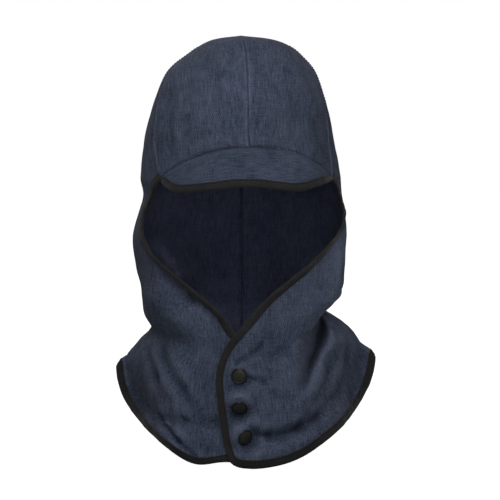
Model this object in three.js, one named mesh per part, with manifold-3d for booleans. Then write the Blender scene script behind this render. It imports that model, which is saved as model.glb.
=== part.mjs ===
// Denim welding hood: a four-gore cloth crown with a short soft bill, a V-shaped face opening,
// a front that laps left over right under three snaps, and a flared cape, all bound with black tape.
// Millimetres, +Z up, the face opening looks to -Y, the wearer's left is +X.
// The origin is the inside top of the crown, where the head carries the hood.
import * as THREE from "three";
import Module from "manifold-3d";

const wasm = await Module();
wasm.setup();

// Sizes of the cloth, the tape and the snaps
const CLOTH_WALL = 1.3;
const BILL_WALL = 2.2;
const SEAM_GAP = 0.35;
const TAPE_WIDTH = 8;
const TAPE_WALL = 0.8;
const TAPE_GAP = 0.3;
const HEM_DROP = 410;
const SNAP_SIDES = 12;
const SNAP_REST = 14;

// Angles are degrees round the hood from the centre front, positive towards the wearer's left.
const BACK_ANGLE = 180;
const CORNER_ANGLE = 56.5;
const CORNER_DROP = 139;
const SIDE_SEAM_TOP_ANGLE = 90;
const SIDE_SEAM_POWER = 0.8;
const BILL_SEAM_DROP = 108;
const BILL_SEAM_POWER = 2.2;
const BILL_REACH = 0.21;
const BILL_BOW = 3;
const BILL_END = 0.965;
const BILL_TAPE_END = 0.9;

// The right front lies under the left one: how deep it sinks and where, how much further its hidden edge
// reaches, and how much higher its corner hangs
const LAP_DEPTH = 5.2;
const LAP_SINK = { fromDrop: 258, toDrop: 281, fromAngle: -34, toAngle: -13 };
const UNDERLAP_REACH = { angle: 3, fromDrop: 284, toDrop: 305 };
const UNDERLAP_RISE = { height: 6, fromAngle: -28, toAngle: -6, fromDrop: 300 };

// Towards the hem the cape's sides flatten into wings that look to the front and hang a little lower and
// wider. Between the front and the back the hem lifts over the shoulders.
const SIDE_WING = { share: 0.7, flat: 0.25, bend: 0.85, fromDrop: 305, fall: 24, spread: 0.05 };
const SHOULDER_LIFT = { height: 5, reach: 0.34, fromDrop: 372 };

// Mean girth radius that turns an angle into a length along the cloth
const MM_PER_DEGREE = 1.95;
const FRONT_DROP_POWER = 2.7;
const BACK_DROP_POWER = 2;
const APEX_DROP = 0.002;
const SLOPE_STEP = 0.4;

const CLOTH_COLOUR = 0x3d4456;
const TAPE_COLOUR = 0x22201f;
const SNAP_COLOUR = 0x26271f;

// Turns a list of column names and short rows into a list of named rows.
function table(columns, rows) {
  return rows.map((row) => Object.fromEntries(columns.map((name, i) => [name, row[i]])));
}

// Sections from the crown's top to the hem. A section is named by its drop below the top at the centre
// front. It gives its drop at the two sides and the back, its reach to the right, left, front and back,
// and the turn of the cloth round the head.
const SECTIONS = table(
  ["drop", "dropRight", "dropLeft", "dropBack", "right", "left", "front", "back", "turn"],
  [
    [0, 0, 0, 0, 0, 0, 0, 0, 5],
    [4.4, 4.4, 4.4, 4.4, 29.5, 32.5, 33, 33, 5],
    [15, 15, 15, 15, 48.5, 53.5, 56, 58, 5],
    [35, 35, 35, 35, 72, 73, 82, 85, 5],
    [63, 63, 63, 63, 85, 84.5, 100, 105, 5],
    [102, 102, 102, 102, 95.7, 92.3, 111, 117, 5],
    [139, 139, 139, 139, 100, 98, 113, 121, 9.5],
    [157, 157, 157, 157, 97, 99.5, 112, 121, 9.5],
    [177, 177, 177, 177, 101.5, 103.7, 111, 119, 5.5],
    [200, 200, 200, 200, 107.5, 105, 111, 115, 0],
    [235, 235, 235, 235, 103.4, 102.5, 112, 107, -2],
    [265, 258, 256, 262, 99, 100.8, 114, 100, -1.5],
    [285, 275, 266, 282, 96, 95, 117, 95, 0],
    [300, 289, 273.7, 296, 89, 86, 119, 92, 0],
    [325, 303, 287, 316, 100.5, 104.5, 122, 96, 0],
    [360, 316, 300, 343, 111, 115.5, 127, 107, 0],
    [385, 321, 309, 363, 113.3, 121, 130.5, 116, 0],
    [398, 325.5, 316, 374, 114.8, 126, 133, 120.3, 0],
    [410, 334, 324, 384, 124.6, 134.5, 135, 124, 0],
  ],
);

// The free front edge from the bill's corner, round the face opening and down the lapped front:
// how far it stands from the centre front at each drop. Past the centre line the angle is negative.
const FRONT_EDGE = table(
  ["drop", "angle"],
  [
    [139, 56.5],
    [150, 66],
    [163, 71.5],
    [177, 71.5],
    [190, 66],
    [203, 56],
    [215, 46.5],
    [233, 32],
    [255, 16],
    [270, 7],
    [285, -2.4],
    [300, -9.7],
    [315, -12.6],
    [331, -12.9],
    [352, -11.3],
    [373, -9.5],
    [388, -7.7],
    [398, -5.2],
    [410, 2.5],
  ],
);

// How far the bill's free edge dips below its corners, across from right (-1) to left (1)
const BILL_EDGE = table(
  ["across", "dip"],
  [
    [-1, 2.5],
    [-0.9, 6.5],
    [-0.76, 11],
    [-0.6, 10.5],
    [-0.4, 8],
    [-0.2, 5.3],
    [0, 5.3],
    [0.15, 7.5],
    [0.28, 9],
    [0.4, 8.4],
    [0.55, 6],
    [0.75, 3.2],
    [1, 1.5],
  ],
);

// Main folds and dents: a line from one place on the cloth to another, pushed out or in.
const FOLDS = table(
  ["fromAngle", "fromDrop", "toAngle", "toDrop", "push", "width"],
  [
    [57, 286, 42, 334, -8.5, 13],
    [64, 316, 38, 360, 4, 12],
    [20, 322, 28, 358, 3, 14],
    [15, 385, 38, 386, -4, 8],
    [-52, 316, -26, 356, -4.5, 13],
    [-46, 306, -28, 334, 3, 13],
    [-43, 389, -16, 373, -3.5, 9],
    [-78, 318, -68, 368, 3, 13],
    [-44, 232, -14, 262, -3.5, 11],
    [-56, 248, -18, 274, 2.5, 11],
    [-19, 42, -6, 18, -2.5, 12],
    [52, 262, 28, 276, 2.5, 12],
    [128, 292, 150, 340, -5, 14],
    [-128, 296, -152, 342, -5, 14],
    [176, 284, 182, 350, -3, 16],
    [150, 268, 205, 276, 3, 13],
    [104, 300, 118, 352, 3, 14],
    [-104, 302, -120, 350, 3, 14],
  ],
);

// Row drops of the side panels, closest round the face opening, the last strip under the hem tape
const CROWN_DROPS = [2, 8, 18, 32, 50, 72, 96, 119];
const FACE_DROPS = [139, 142.5, 150, 160, 171, 182, 193, 204, 215, 227, 239, 251, 263, 275, 287, 299];
const CAPE_DROPS = [312, 327, 342, 357, 372, 385];
const HEM_STRIP = 9.5;
const PANEL_COLUMNS = 17;
const COLUMN_CROWDING = 1.3;
const CROWN_COLUMNS = 8;
const SEAM_PASSES = 6;
const BILL_COLUMNS = 22;
const BILL_DOWN = [0.04, 0.3, 0.57, 0.82, 1];

const SNAPS = table(
  ["name", "angle", "drop"],
  [
    ["1", -0.7, 322],
    ["2", -0.6, 352.5],
    ["3", 1.8, 380],
  ],
);

const degrees = THREE.MathUtils.degToRad;
const lerp = THREE.MathUtils.lerp;
const smoothstep = THREE.MathUtils.smoothstep;

// Smooth curve through a table's column: the slope at a row is that between its neighbours.
function smoothColumn(rows, along, name, at) {
  const last = rows.length - 1;
  const k = Math.min(Math.max(rows.findLastIndex((row) => along(row) <= at), 0), last - 1);
  const x = (i) => along(rows[i]);
  const value = (i) => rows[i][name];
  const slope = (i) => {
    const before = Math.max(i - 1, 0);
    const after = Math.min(i + 1, last);
    return (value(after) - value(before)) / (x(after) - x(before));
  };
  const span = x(k + 1) - x(k);
  const s = THREE.MathUtils.clamp((at - x(k)) / span, 0, 1);
  const s2 = s * s;
  const s3 = s2 * s;
  const start = value(k) * (2 * s3 - 3 * s2 + 1) + slope(k) * span * (s3 - 2 * s2 + s);
  const end = value(k + 1) * (3 * s2 - 2 * s3) + slope(k + 1) * span * (s3 - s2);
  return start + end;
}

const rootDrop = (row) => Math.sqrt(row.drop);
const rowDrop = (row) => row.drop;
const rowAcross = (row) => row.across;

function section(drop) {
  const at = Math.sqrt(Math.max(drop, 0));
  const value = (name) => smoothColumn(SECTIONS, rootDrop, name, at);
  return Object.fromEntries(Object.keys(SECTIONS[0]).map((name) => [name, value(name)]));
}

// The cloth is turned most at the front and not at all at the centre back seam.
const frontShare = (angle) => (1 + Math.cos(degrees(angle))) / 2;

// How much a wing of the cape shows at a place, from 0 to 1
function wingShare(cosine, drop) {
  const lower = cosine > 0 ? smoothstep(drop, SIDE_WING.fromDrop, HEM_DROP) : 0;
  return lower * (1 - smoothstep(cosine, SIDE_WING.flat, SIDE_WING.bend));
}

function shoulderLift(cosine, drop) {
  const near = Math.exp(-((cosine / SHOULDER_LIFT.reach) ** 2));
  return SHOULDER_LIFT.height * near * smoothstep(drop, SHOULDER_LIFT.fromDrop, HEM_DROP);
}

// The smooth form of the hood, before folds
function form(angle, drop) {
  const cut = section(drop);
  const round = degrees(angle + cut.turn * frontShare(angle));
  const sine = Math.sin(round);
  const cosine = Math.cos(round);
  const wide = sine < 0 ? cut.right : cut.left;
  const deep = cosine > 0 ? cut.front : cut.back;
  const sideDrop = sine < 0 ? cut.dropRight : cut.dropLeft;
  const endDrop = cosine > 0 ? drop : cut.dropBack;
  const power = cosine > 0 ? FRONT_DROP_POWER : BACK_DROP_POWER;
  const low = lerp(endDrop, sideDrop, Math.abs(sine) ** power);
  const wing = wingShare(cosine, drop);
  return new THREE.Vector3(
    wide * sine * (1 + SIDE_WING.spread * wing * cosine),
    -deep * cosine * (1 - SIDE_WING.share * wing),
    shoulderLift(cosine, drop) - SIDE_WING.fall * wing * cosine - low,
  );
}

// Outward direction of any surface of angle and drop
function outward(surface, angle, drop) {
  const stepAngle = SLOPE_STEP;
  const stepDrop = Math.min(SLOPE_STEP, drop / 2);
  const across = surface(angle + stepAngle, drop).sub(surface(angle - stepAngle, drop));
  const down = surface(angle, drop + stepDrop).sub(surface(angle, drop - stepDrop));
  return down.cross(across).normalize();
}

// Push of all the folds at a place on the cloth
function foldPush(angle, drop) {
  let push = 0;
  for (const fold of FOLDS) {
    const turns = Math.round(((fold.fromAngle + fold.toAngle) / 2 - angle) / 360) * 360;
    const place = new THREE.Vector3((angle + turns) * MM_PER_DEGREE, drop, 0);
    const line = new THREE.Line3(
      new THREE.Vector3(fold.fromAngle * MM_PER_DEGREE, fold.fromDrop, 0),
      new THREE.Vector3(fold.toAngle * MM_PER_DEGREE, fold.toDrop, 0),
    );
    const nearest = line.closestPointToPoint(place, true, new THREE.Vector3());
    const away = nearest.distanceTo(place) / fold.width;
    push += fold.push * Math.exp(-away * away);
  }
  return push * snapFade(angle, drop);
}

// The cloth lies smooth under each snap.
function snapFade(angle, drop) {
  let fade = 1;
  for (const snap of SNAPS) {
    const away = Math.hypot((angle - snap.angle) * MM_PER_DEGREE, drop - snap.drop) / SNAP_REST;
    fade *= 1 - Math.exp(-(away ** 4));
  }
  return fade;
}

// The cloth's middle surface. The right panel sinks under the left one where they lap.
function cloth(angle, drop, lapped) {
  const lower = smoothstep(drop, LAP_SINK.fromDrop, LAP_SINK.toDrop);
  const inner = smoothstep(angle, LAP_SINK.fromAngle, LAP_SINK.toAngle);
  const sink = lapped ? LAP_DEPTH * lower * inner : 0;
  const place = form(angle, drop);
  return place.addScaledVector(outward(form, angle, drop), foldPush(angle, drop) - sink);
}

// A place on a sheet: its point and its outward direction
function spot(surface, angle, drop) {
  return { point: surface(angle, drop), out: outward(surface, angle, drop) };
}

// Triangles of a grid of spots. A first row of one spot makes a fan.
function sheetOf(grid) {
  const spots = grid.flat();
  const starts = [];
  let count = 0;
  for (const row of grid) {
    starts.push(count);
    count += row.length;
  }
  const faces = [];
  for (let i = 0; i + 1 < grid.length; i += 1) {
    for (let j = 0; j + 1 < grid[i + 1].length; j += 1) {
      const c = starts[i + 1] + j;
      const d = c + 1;
      if (grid[i].length === 1) {
        faces.push([starts[i], c, d]);
        continue;
      }
      const a = starts[i] + j;
      const b = a + 1;
      faces.push([a, c, b], [b, c, d]);
    }
  }
  return { spots, faces };
}

// Turns the faces round where they look inwards.
function facedOut({ spots, faces }) {
  const sample = faces[Math.floor(faces.length / 2)];
  const [a, b, c] = sample.map((i) => spots[i].point);
  const normal = b.clone().sub(a).cross(c.clone().sub(a));
  const middle = spots[sample[0]];
  const turned = normal.dot(middle.out) < 0;
  return { spots, faces: turned ? faces.map(([p, q, r]) => [p, r, q]) : faces };
}

// A closed wall of even thickness about a sheet
function wallGeometry(grid, thickness) {
  const { spots, faces } = facedOut(sheetOf(grid));
  const count = spots.length;
  const skin = (side) => spots.map((s) => s.point.clone().addScaledVector(s.out, (side * thickness) / 2));
  const points = [...skin(1), ...skin(-1)];
  const edges = new Set(faces.flatMap(([a, b, c]) => [`${a} ${b}`, `${b} ${c}`, `${c} ${a}`]));
  const index = [];
  for (const [a, b, c] of faces) {
    index.push(a, b, c);
    index.push(a + count, c + count, b + count);
    for (const [p, q] of [[a, b], [b, c], [c, a]]) {
      if (!edges.has(`${q} ${p}`)) {
        index.push(q, p, p + count);
        index.push(q, p + count, q + count);
      }
    }
  }
  return new THREE.BufferGeometry().setFromPoints(points).setIndex(index);
}

// Points round the tape's U-shaped section, rim first
const TAPE_RING = 8;

// Tape folded round an edge. A stop holds the spot on the edge and the spot inside it under the tape's lip.
function tapeGeometry(stops, clothWall) {
  const slot = clothWall / 2 + TAPE_GAP;
  const face = slot + TAPE_WALL;
  const points = [];
  for (const { edge, lip } of stops) {
    const beyond = edge.point.clone().sub(lip.point).normalize();
    const rimSpot = (away, side) =>
      edge.point.clone().addScaledVector(beyond, away).addScaledVector(edge.out, side);
    const lipSpot = (side) => lip.point.clone().addScaledVector(lip.out, side);
    const far = TAPE_GAP + TAPE_WALL;
    points.push(rimSpot(far, face), lipSpot(face), lipSpot(slot), rimSpot(TAPE_GAP, slot));
    points.push(rimSpot(TAPE_GAP, -slot), lipSpot(-slot), lipSpot(-face), rimSpot(far, -face));
  }
  const ring = TAPE_RING;
  const last = (stops.length - 1) * ring;
  const index = [];
  for (let i = 0; i + 1 < stops.length; i += 1) {
    for (let j = 0; j < ring; j += 1) {
      const a = i * ring + j;
      const b = i * ring + ((j + 1) % ring);
      const towardsLip = j % (ring / 2) === 0 ? 1 : -1;
      if (towardsLip === stops[i].lean) {
        index.push(a, b, b + ring, a, b + ring, a + ring);
      } else {
        index.push(a, b, a + ring, b, b + ring, a + ring);
      }
    }
  }
  for (const [p, q, r, s] of [[0, 1, 2, 3], [0, 3, 4, 7], [4, 5, 6, 7]]) {
    index.push(p, r, q, p, s, r);
    index.push(last + p, last + q, last + r, last + p, last + r, last + s);
  }
  return new THREE.BufferGeometry().setFromPoints(points).setIndex(index);
}

const solidOf = (geometry) =>
  new wasm.Manifold(
    new wasm.Mesh({
      numProp: 3,
      vertProperties: new Float32Array(geometry.getAttribute("position").array),
      triVerts: new Uint32Array(geometry.index.array),
    }),
  );

function geometryOf(solid) {
  const mesh = solid.getMesh();
  return new THREE.BufferGeometry()
    .setAttribute("position", new THREE.BufferAttribute(mesh.vertProperties, 3))
    .setIndex(new THREE.BufferAttribute(mesh.triVerts, 1));
}

// A round bar along a direction, for the holes the snap posts go through
function holeBar(radius, length, middle, direction) {
  const bar = new THREE.CylinderGeometry(radius, radius, length, SNAP_SIDES);
  bar.deleteAttribute("uv");
  bar.deleteAttribute("normal");
  const turn = new THREE.Quaternion().setFromUnitVectors(new THREE.Vector3(0, 1, 0), direction);
  bar.applyQuaternion(turn);
  bar.translate(middle.x, middle.y, middle.z);
  const mesh = new wasm.Mesh({
    numProp: 3,
    vertProperties: new Float32Array(bar.getAttribute("position").array),
    triVerts: new Uint32Array(bar.index.array),
  });
  mesh.merge();
  return new wasm.Manifold(mesh);
}

const sideSeamAngle = (drop) =>
  lerp(SIDE_SEAM_TOP_ANGLE, CORNER_ANGLE, Math.min(drop / CORNER_DROP, 1) ** SIDE_SEAM_POWER);

const frontEdgeAngle = (drop) =>
  drop < CORNER_DROP ? sideSeamAngle(drop) : smoothColumn(FRONT_EDGE, rowDrop, "angle", drop);

// How far in from the edge the column under the tape's lip lies, wider where the edge runs aslant
function tapeInset(drop) {
  const step = 3;
  const slant = ((frontEdgeAngle(drop + step) - frontEdgeAngle(drop - step)) * MM_PER_DEGREE) / (2 * step);
  return TAPE_WIDTH * Math.hypot(1, slant);
}

// The right panel's front corner hangs a little higher than the left one's.
function underlapRise(angle, drop) {
  const inner = smoothstep(angle, UNDERLAP_RISE.fromAngle, UNDERLAP_RISE.toAngle);
  return UNDERLAP_RISE.height * inner * smoothstep(drop, UNDERLAP_RISE.fromDrop, HEM_DROP);
}

// Grid of a side panel from its front edge to the centre back. side is 1 for the left and -1 for the right.
function panelGrid(side) {
  const drops = [...CROWN_DROPS, ...FACE_DROPS, ...CAPE_DROPS, HEM_DROP - HEM_STRIP, HEM_DROP];
  const under = side < 0;
  const surface = (angle, drop) => cloth(angle, drop - (under ? underlapRise(angle, drop) : 0), under);
  const topAngle = (side * (SIDE_SEAM_TOP_ANGLE + BACK_ANGLE)) / 2;
  const grid = [[spot(surface, topAngle, APEX_DROP)]];
  for (const drop of drops) {
    const reach = form(side * BACK_ANGLE, drop).setZ(0).length();
    const gapAngle = THREE.MathUtils.radToDeg(SEAM_GAP / 2 / reach);
    const taped = drop > CORNER_DROP;
    const lower = smoothstep(drop, UNDERLAP_REACH.fromDrop, UNDERLAP_REACH.toDrop);
    const hidden = under ? UNDERLAP_REACH.angle * lower : 0;
    const front = frontEdgeAngle(drop) - hidden + (taped ? 0 : gapAngle);
    const evenStep = (BACK_ANGLE - front) / (PANEL_COLUMNS + 1);
    const second = front + (taped ? tapeInset(drop) / MM_PER_DEGREE : evenStep);
    const row = [spot(surface, side * front, drop)];
    for (let j = 0; j <= PANEL_COLUMNS; j += 1) {
      const share = (j / PANEL_COLUMNS) ** COLUMN_CROWDING;
      const angle = lerp(second, BACK_ANGLE - gapAngle, share);
      row.push(spot(surface, side * angle, drop));
    }
    grid.push(row);
  }
  return grid;
}

const billSeamDrop = (angle) =>
  lerp(BILL_SEAM_DROP, CORNER_DROP, Math.min(Math.abs(angle) / CORNER_ANGLE, 1) ** BILL_SEAM_POWER);

// Grid of a front crown gore from the centre seam to the side seam and from the top to the bill seam
function crownGrid(side) {
  const surface = (angle, drop) => cloth(angle, drop, false);
  const grid = [[spot(surface, (side * SIDE_SEAM_TOP_ANGLE) / 2, APEX_DROP)]];
  for (const seamDrop of [...CROWN_DROPS, CORNER_DROP]) {
    const share = seamDrop / CORNER_DROP;
    const row = [];
    for (let j = 0; j <= CROWN_COLUMNS; j += 1) {
      let drop = share * BILL_SEAM_DROP;
      let angle = 0;
      for (let pass = 0; pass < SEAM_PASSES; pass += 1) {
        const reach = form(0, drop).setZ(0).length();
        const gapAngle = THREE.MathUtils.radToDeg(SEAM_GAP / 2 / reach);
        angle = lerp(gapAngle, sideSeamAngle(drop) - gapAngle, j / CROWN_COLUMNS);
        drop = share * (billSeamDrop(angle) - SEAM_GAP / 2);
      }
      row.push(spot(surface, side * angle, drop));
    }
    grid.push(row);
  }
  return grid;
}

// The bill from its seam (down = 0) to its free edge (down = 1), across from right (-1) to left (1)
function billSurface(across, down) {
  const angle = across * CORNER_ANGLE;
  const middle = 1 - across * across;
  const seam = form(angle, billSeamDrop(angle) + SEAM_GAP);
  const edge = form(angle, CORNER_DROP + SEAM_GAP);
  edge.x = lerp(edge.x, edge.x * (1 + BILL_REACH), middle);
  edge.y *= 1 + BILL_REACH * middle;
  edge.z -= smoothColumn(BILL_EDGE, rowAcross, "dip", across);
  const place = seam.clone().lerp(edge, down);
  const lift = BILL_BOW * 4 * down * (1 - down) * middle;
  return place.add(new THREE.Vector3(0, -lift, lift));
}

function billGrid() {
  const grid = [];
  const step = 0.01;
  for (const down of BILL_DOWN) {
    const row = [];
    for (let j = 0; j <= BILL_COLUMNS; j += 1) {
      const across = lerp(-BILL_END, BILL_END, j / BILL_COLUMNS);
      const along = billSurface(across + step, down).sub(billSurface(across - step, down));
      const fall = billSurface(across, down + step).sub(billSurface(across, down - step));
      row.push({ point: billSurface(across, down), out: fall.cross(along).normalize(), across });
    }
    grid.push(row);
  }
  return grid;
}

// A stop's lean says which way the cloth's own facets are split, so the tape follows them.
const FRONT_LEAN = -1;
const HEM_LEAN = 1;

// Stops of the edge tape on one panel, from the bill's corner down the front and along the hem to the back
function panelStops(grid) {
  const firstRow = 1 + CROWN_DROPS.length;
  const lastRow = grid.length - 1;
  const stops = [];
  for (let i = firstRow + 1; i < lastRow; i += 1) {
    stops.push({ edge: grid[i][0], lip: grid[i][1], lean: FRONT_LEAN });
  }
  stops.push({ edge: grid[lastRow][0], lip: grid[lastRow - 1][1], lean: HEM_LEAN });
  for (let j = 1; j < grid[lastRow].length; j += 1) {
    stops.push({ edge: grid[lastRow][j], lip: grid[lastRow - 1][j], lean: HEM_LEAN });
  }
  return stops;
}

const reversedStops = (stops) => stops.map((stop) => ({ ...stop, lean: -stop.lean })).reverse();

const hood = new THREE.Group();
hood.name = "denim_welding_hood";

function addPiece(name, geometry, colour, roughness, metalness) {
  geometry.computeVertexNormals();
  const material = new THREE.MeshStandardMaterial({ color: colour, roughness, metalness });
  const mesh = new THREE.Mesh(geometry, material);
  mesh.name = name;
  hood.add(mesh);
  return mesh;
}

const addCloth = (name, geometry) => addPiece(name, geometry, CLOTH_COLOUR, 0.9, 0);
const addTape = (name, geometry) => addPiece(name, geometry, TAPE_COLOUR, 0.8, 0);

// Snap profiles: radius and height over the middle of the left panel's cloth
const CAP_PROFILE = table(
  ["radius", "height"],
  [
    [0, -1.6],
    [2.6, -1.6],
    [2.6, -2.7],
    [5.4, -2.7],
    [5.4, -1.25],
    [1.9, -1.25],
    [1.9, 1.25],
    [7.1, 1.25],
    [7.5, 1.7],
    [7, 2.5],
    [5.4, 3.2],
    [3, 3.6],
    [0, 3.75],
  ],
);
const STUD_PROFILE = table(
  ["radius", "height"],
  [
    [0, -7.5],
    [5.4, -7.5],
    [5.4, -6.5],
    [1.6, -6.5],
    [1.6, -4.1],
    [4.6, -4.1],
    [4.6, -3.1],
    [2.2, -3.1],
    [2.2, -2],
    [0, -2],
  ],
);
const CAP_HOLE_RADIUS = 2.25;
const STUD_HOLE_RADIUS = 1.95;
const HOLE_LENGTH = 6;

const snapSpots = SNAPS.map((snap) => ({
  ...snap,
  ...spot((angle, drop) => cloth(angle, drop, false), snap.angle, snap.drop),
}));

function addSnap(name, profile, { point, out }) {
  const outline = profile.map((row) => new THREE.Vector2(row.radius, row.height));
  const geometry = new THREE.LatheGeometry(outline, SNAP_SIDES);
  const mesh = addPiece(name, geometry, SNAP_COLOUR, 0.35, 0.2);
  mesh.position.copy(point);
  mesh.quaternion.setFromUnitVectors(new THREE.Vector3(0, 1, 0), out);
}

function cutHoles(geometry, radius, depth) {
  let solid = solidOf(geometry);
  for (const { point, out } of snapSpots) {
    const middle = point.clone().addScaledVector(out, -depth);
    solid = solid.subtract(holeBar(radius, HOLE_LENGTH, middle, out));
  }
  return geometryOf(solid);
}

const leftGrid = panelGrid(1);
const rightGrid = panelGrid(-1);
addCloth("panel_left", cutHoles(wallGeometry(leftGrid, CLOTH_WALL), CAP_HOLE_RADIUS, 0));
addCloth("panel_right", cutHoles(wallGeometry(rightGrid, CLOTH_WALL), STUD_HOLE_RADIUS, LAP_DEPTH));
addCloth("crown_left", wallGeometry(crownGrid(1), CLOTH_WALL));
addCloth("crown_right", wallGeometry(crownGrid(-1), CLOTH_WALL));

const bill = billGrid();
addCloth("bill", wallGeometry(bill, BILL_WALL));
const lipRow = bill.length - 2;
const billStops = bill[lipRow + 1]
  .map((edge, j) => ({ edge, lip: bill[lipRow][j], lean: HEM_LEAN }))
  .filter(({ edge }) => Math.abs(edge.across) < BILL_TAPE_END);
addTape("bill_tape", tapeGeometry(reversedStops(billStops), BILL_WALL));

const edgeStops = [...panelStops(rightGrid).slice(0, -1), ...reversedStops(panelStops(leftGrid))];
addTape("edge_tape", tapeGeometry(edgeStops, CLOTH_WALL));

for (const snap of snapSpots) {
  addSnap(`snap_cap_${snap.name}`, CAP_PROFILE, snap);
  addSnap(`snap_stud_${snap.name}`, STUD_PROFILE, snap);
}

export default hood;
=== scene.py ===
"""Looks of the denim welding hood, built around its packed frame.

Sizes are millimetres and degrees, as on a maker's pattern, and meshes are made in metres. The origin is the
inside top of the crown, +Z is up, the face opening looks to -Y and the wearer's left is +X. An angle is
degrees round the hood from the centre front, positive to the wearer's left. A drop is measured down the
centre front from the top of the crown.
"""

import math
from types import SimpleNamespace

import bmesh
import bpy
import numpy as np
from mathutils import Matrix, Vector, noise


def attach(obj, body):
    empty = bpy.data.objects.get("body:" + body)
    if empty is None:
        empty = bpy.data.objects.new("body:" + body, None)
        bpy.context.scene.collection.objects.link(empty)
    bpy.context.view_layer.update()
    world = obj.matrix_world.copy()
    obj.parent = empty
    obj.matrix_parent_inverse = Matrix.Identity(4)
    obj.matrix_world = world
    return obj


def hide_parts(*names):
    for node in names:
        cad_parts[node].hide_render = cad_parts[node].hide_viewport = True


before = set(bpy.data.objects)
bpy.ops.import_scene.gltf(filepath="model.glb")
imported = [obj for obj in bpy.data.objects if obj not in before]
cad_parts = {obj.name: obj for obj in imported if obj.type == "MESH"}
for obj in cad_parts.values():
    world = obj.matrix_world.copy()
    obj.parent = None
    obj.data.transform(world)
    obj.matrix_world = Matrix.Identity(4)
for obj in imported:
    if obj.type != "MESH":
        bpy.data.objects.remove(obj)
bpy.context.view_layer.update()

MM = 0.001
LEFT = 1
RIGHT = -1
SIDES = {"left": LEFT, "right": RIGHT}


def table(columns, rows):
    """A pattern table as a list of rows with named columns."""
    return [SimpleNamespace(**dict(zip(columns, row))) for row in rows]


def column(rows, name):
    return np.array([getattr(row, name) for row in rows], float)


# Cloth, seams and edges
CLOTH_WALL = 1.1
BILL_WALL = 2.2
HEM_DROP = 410
BACK_ANGLE = 180
CORNER_ANGLE = 56.5
CORNER_DROP = 139
SIDE_SEAM_TOP_ANGLE = 90
SIDE_SEAM_POWER = 0.8
BILL_SEAM_DROP = 108
BILL_SEAM_POWER = 2.2
BILL_REACH = 0.21
BILL_BOW = 3
BILL_END = 0.985
FRONT_DROP_POWER = 2.7
BACK_DROP_POWER = 2
MM_PER_DEGREE = 1.95
APEX_DROP = 0.0004
SLOPE_STEP = 0.4

# The right front lies under the left one.
LAP_SINK = SimpleNamespace(depth=5.2, drops=(258, 281), angles=(-34, -13))
LAP_SETTLE = SimpleNamespace(depth=2.2, drops=(283, 300), reach=(3, 20))
UNDERLAP_REACH = SimpleNamespace(angle=3, drops=(284, 305))
UNDERLAP_RISE = SimpleNamespace(height=6, drops=(300, HEM_DROP), angles=(-28, -6))

# Sections from the top of the crown to the hem, each named by its drop at the centre front
SECTIONS = table(
    ("drop", "drop_right", "drop_left", "drop_back", "right", "left", "front", "back", "turn"),
    [
        (0, 0, 0, 0, 0, 0, 0, 0, 5),
        (4.4, 4.4, 4.4, 4.4, 29.5, 32.5, 33, 33, 5),
        (15, 15, 15, 15, 48.5, 53.5, 56, 58, 5),
        (35, 35, 35, 35, 72, 73, 82, 85, 5),
        (63, 63, 63, 63, 85, 84.5, 100, 105, 5),
        (102, 102, 102, 102, 95.7, 92.3, 111, 117, 5),
        (139, 139, 139, 139, 100, 98, 113, 121, 9.5),
        (157, 157, 157, 157, 97, 99.5, 112, 121, 9.5),
        (177, 177, 177, 177, 101.5, 103.7, 111, 119, 5.5),
        (200, 200, 200, 200, 107.5, 105, 111, 115, 0),
        (235, 235, 235, 235, 103.4, 102.5, 112, 107, -2),
        (265, 258, 256, 262, 99, 100.8, 114, 100, -1.5),
        (285, 275, 266, 282, 96, 88.5, 117, 95, 0),
        (300, 289, 273.7, 296, 89, 82, 119, 92, 0),
        (325, 303, 287, 316, 100.5, 103.5, 122, 96, 0),
        (360, 316, 300, 343, 111, 115.5, 127, 107, 0),
        (385, 321, 309, 363, 113.3, 121, 130.5, 116, 0),
        (398, 325.5, 316, 374, 114.8, 126, 133, 120.3, 0),
        (410, 334, 324, 384, 124.6, 134.5, 135, 124, 0),
    ],
)

# The free front edge, round the face opening and down the lapped front
FRONT_EDGE = table(
    ("drop", "angle"),
    [
        (139, 56.5),
        (150, 66),
        (163, 71.5),
        (177, 71.5),
        (190, 66),
        (203, 56),
        (215, 46.5),
        (233, 32),
        (255, 16),
        (270, 7),
        (285, -2.4),
        (300, -9.7),
        (315, -12.6),
        (331, -12.9),
        (352, -11.3),
        (373, -9.5),
        (388, -7.7),
        (398, -6.3),
        (403.5, -4.8),
        (407.3, -2.4),
        (409.2, 0.8),
        (410, 5.5),
    ],
)

# How far the bill's free edge dips below its corners, across from right (-1) to left (1)
BILL_EDGE = table(
    ("across", "dip"),
    [
        (-1, 2.5),
        (-0.9, 6.5),
        (-0.76, 11),
        (-0.6, 10.5),
        (-0.4, 8),
        (-0.2, 5.3),
        (0, 5.3),
        (0.15, 7.5),
        (0.28, 9),
        (0.4, 8.4),
        (0.55, 6),
        (0.75, 3.2),
        (1, 1.5),
    ],
)

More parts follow.
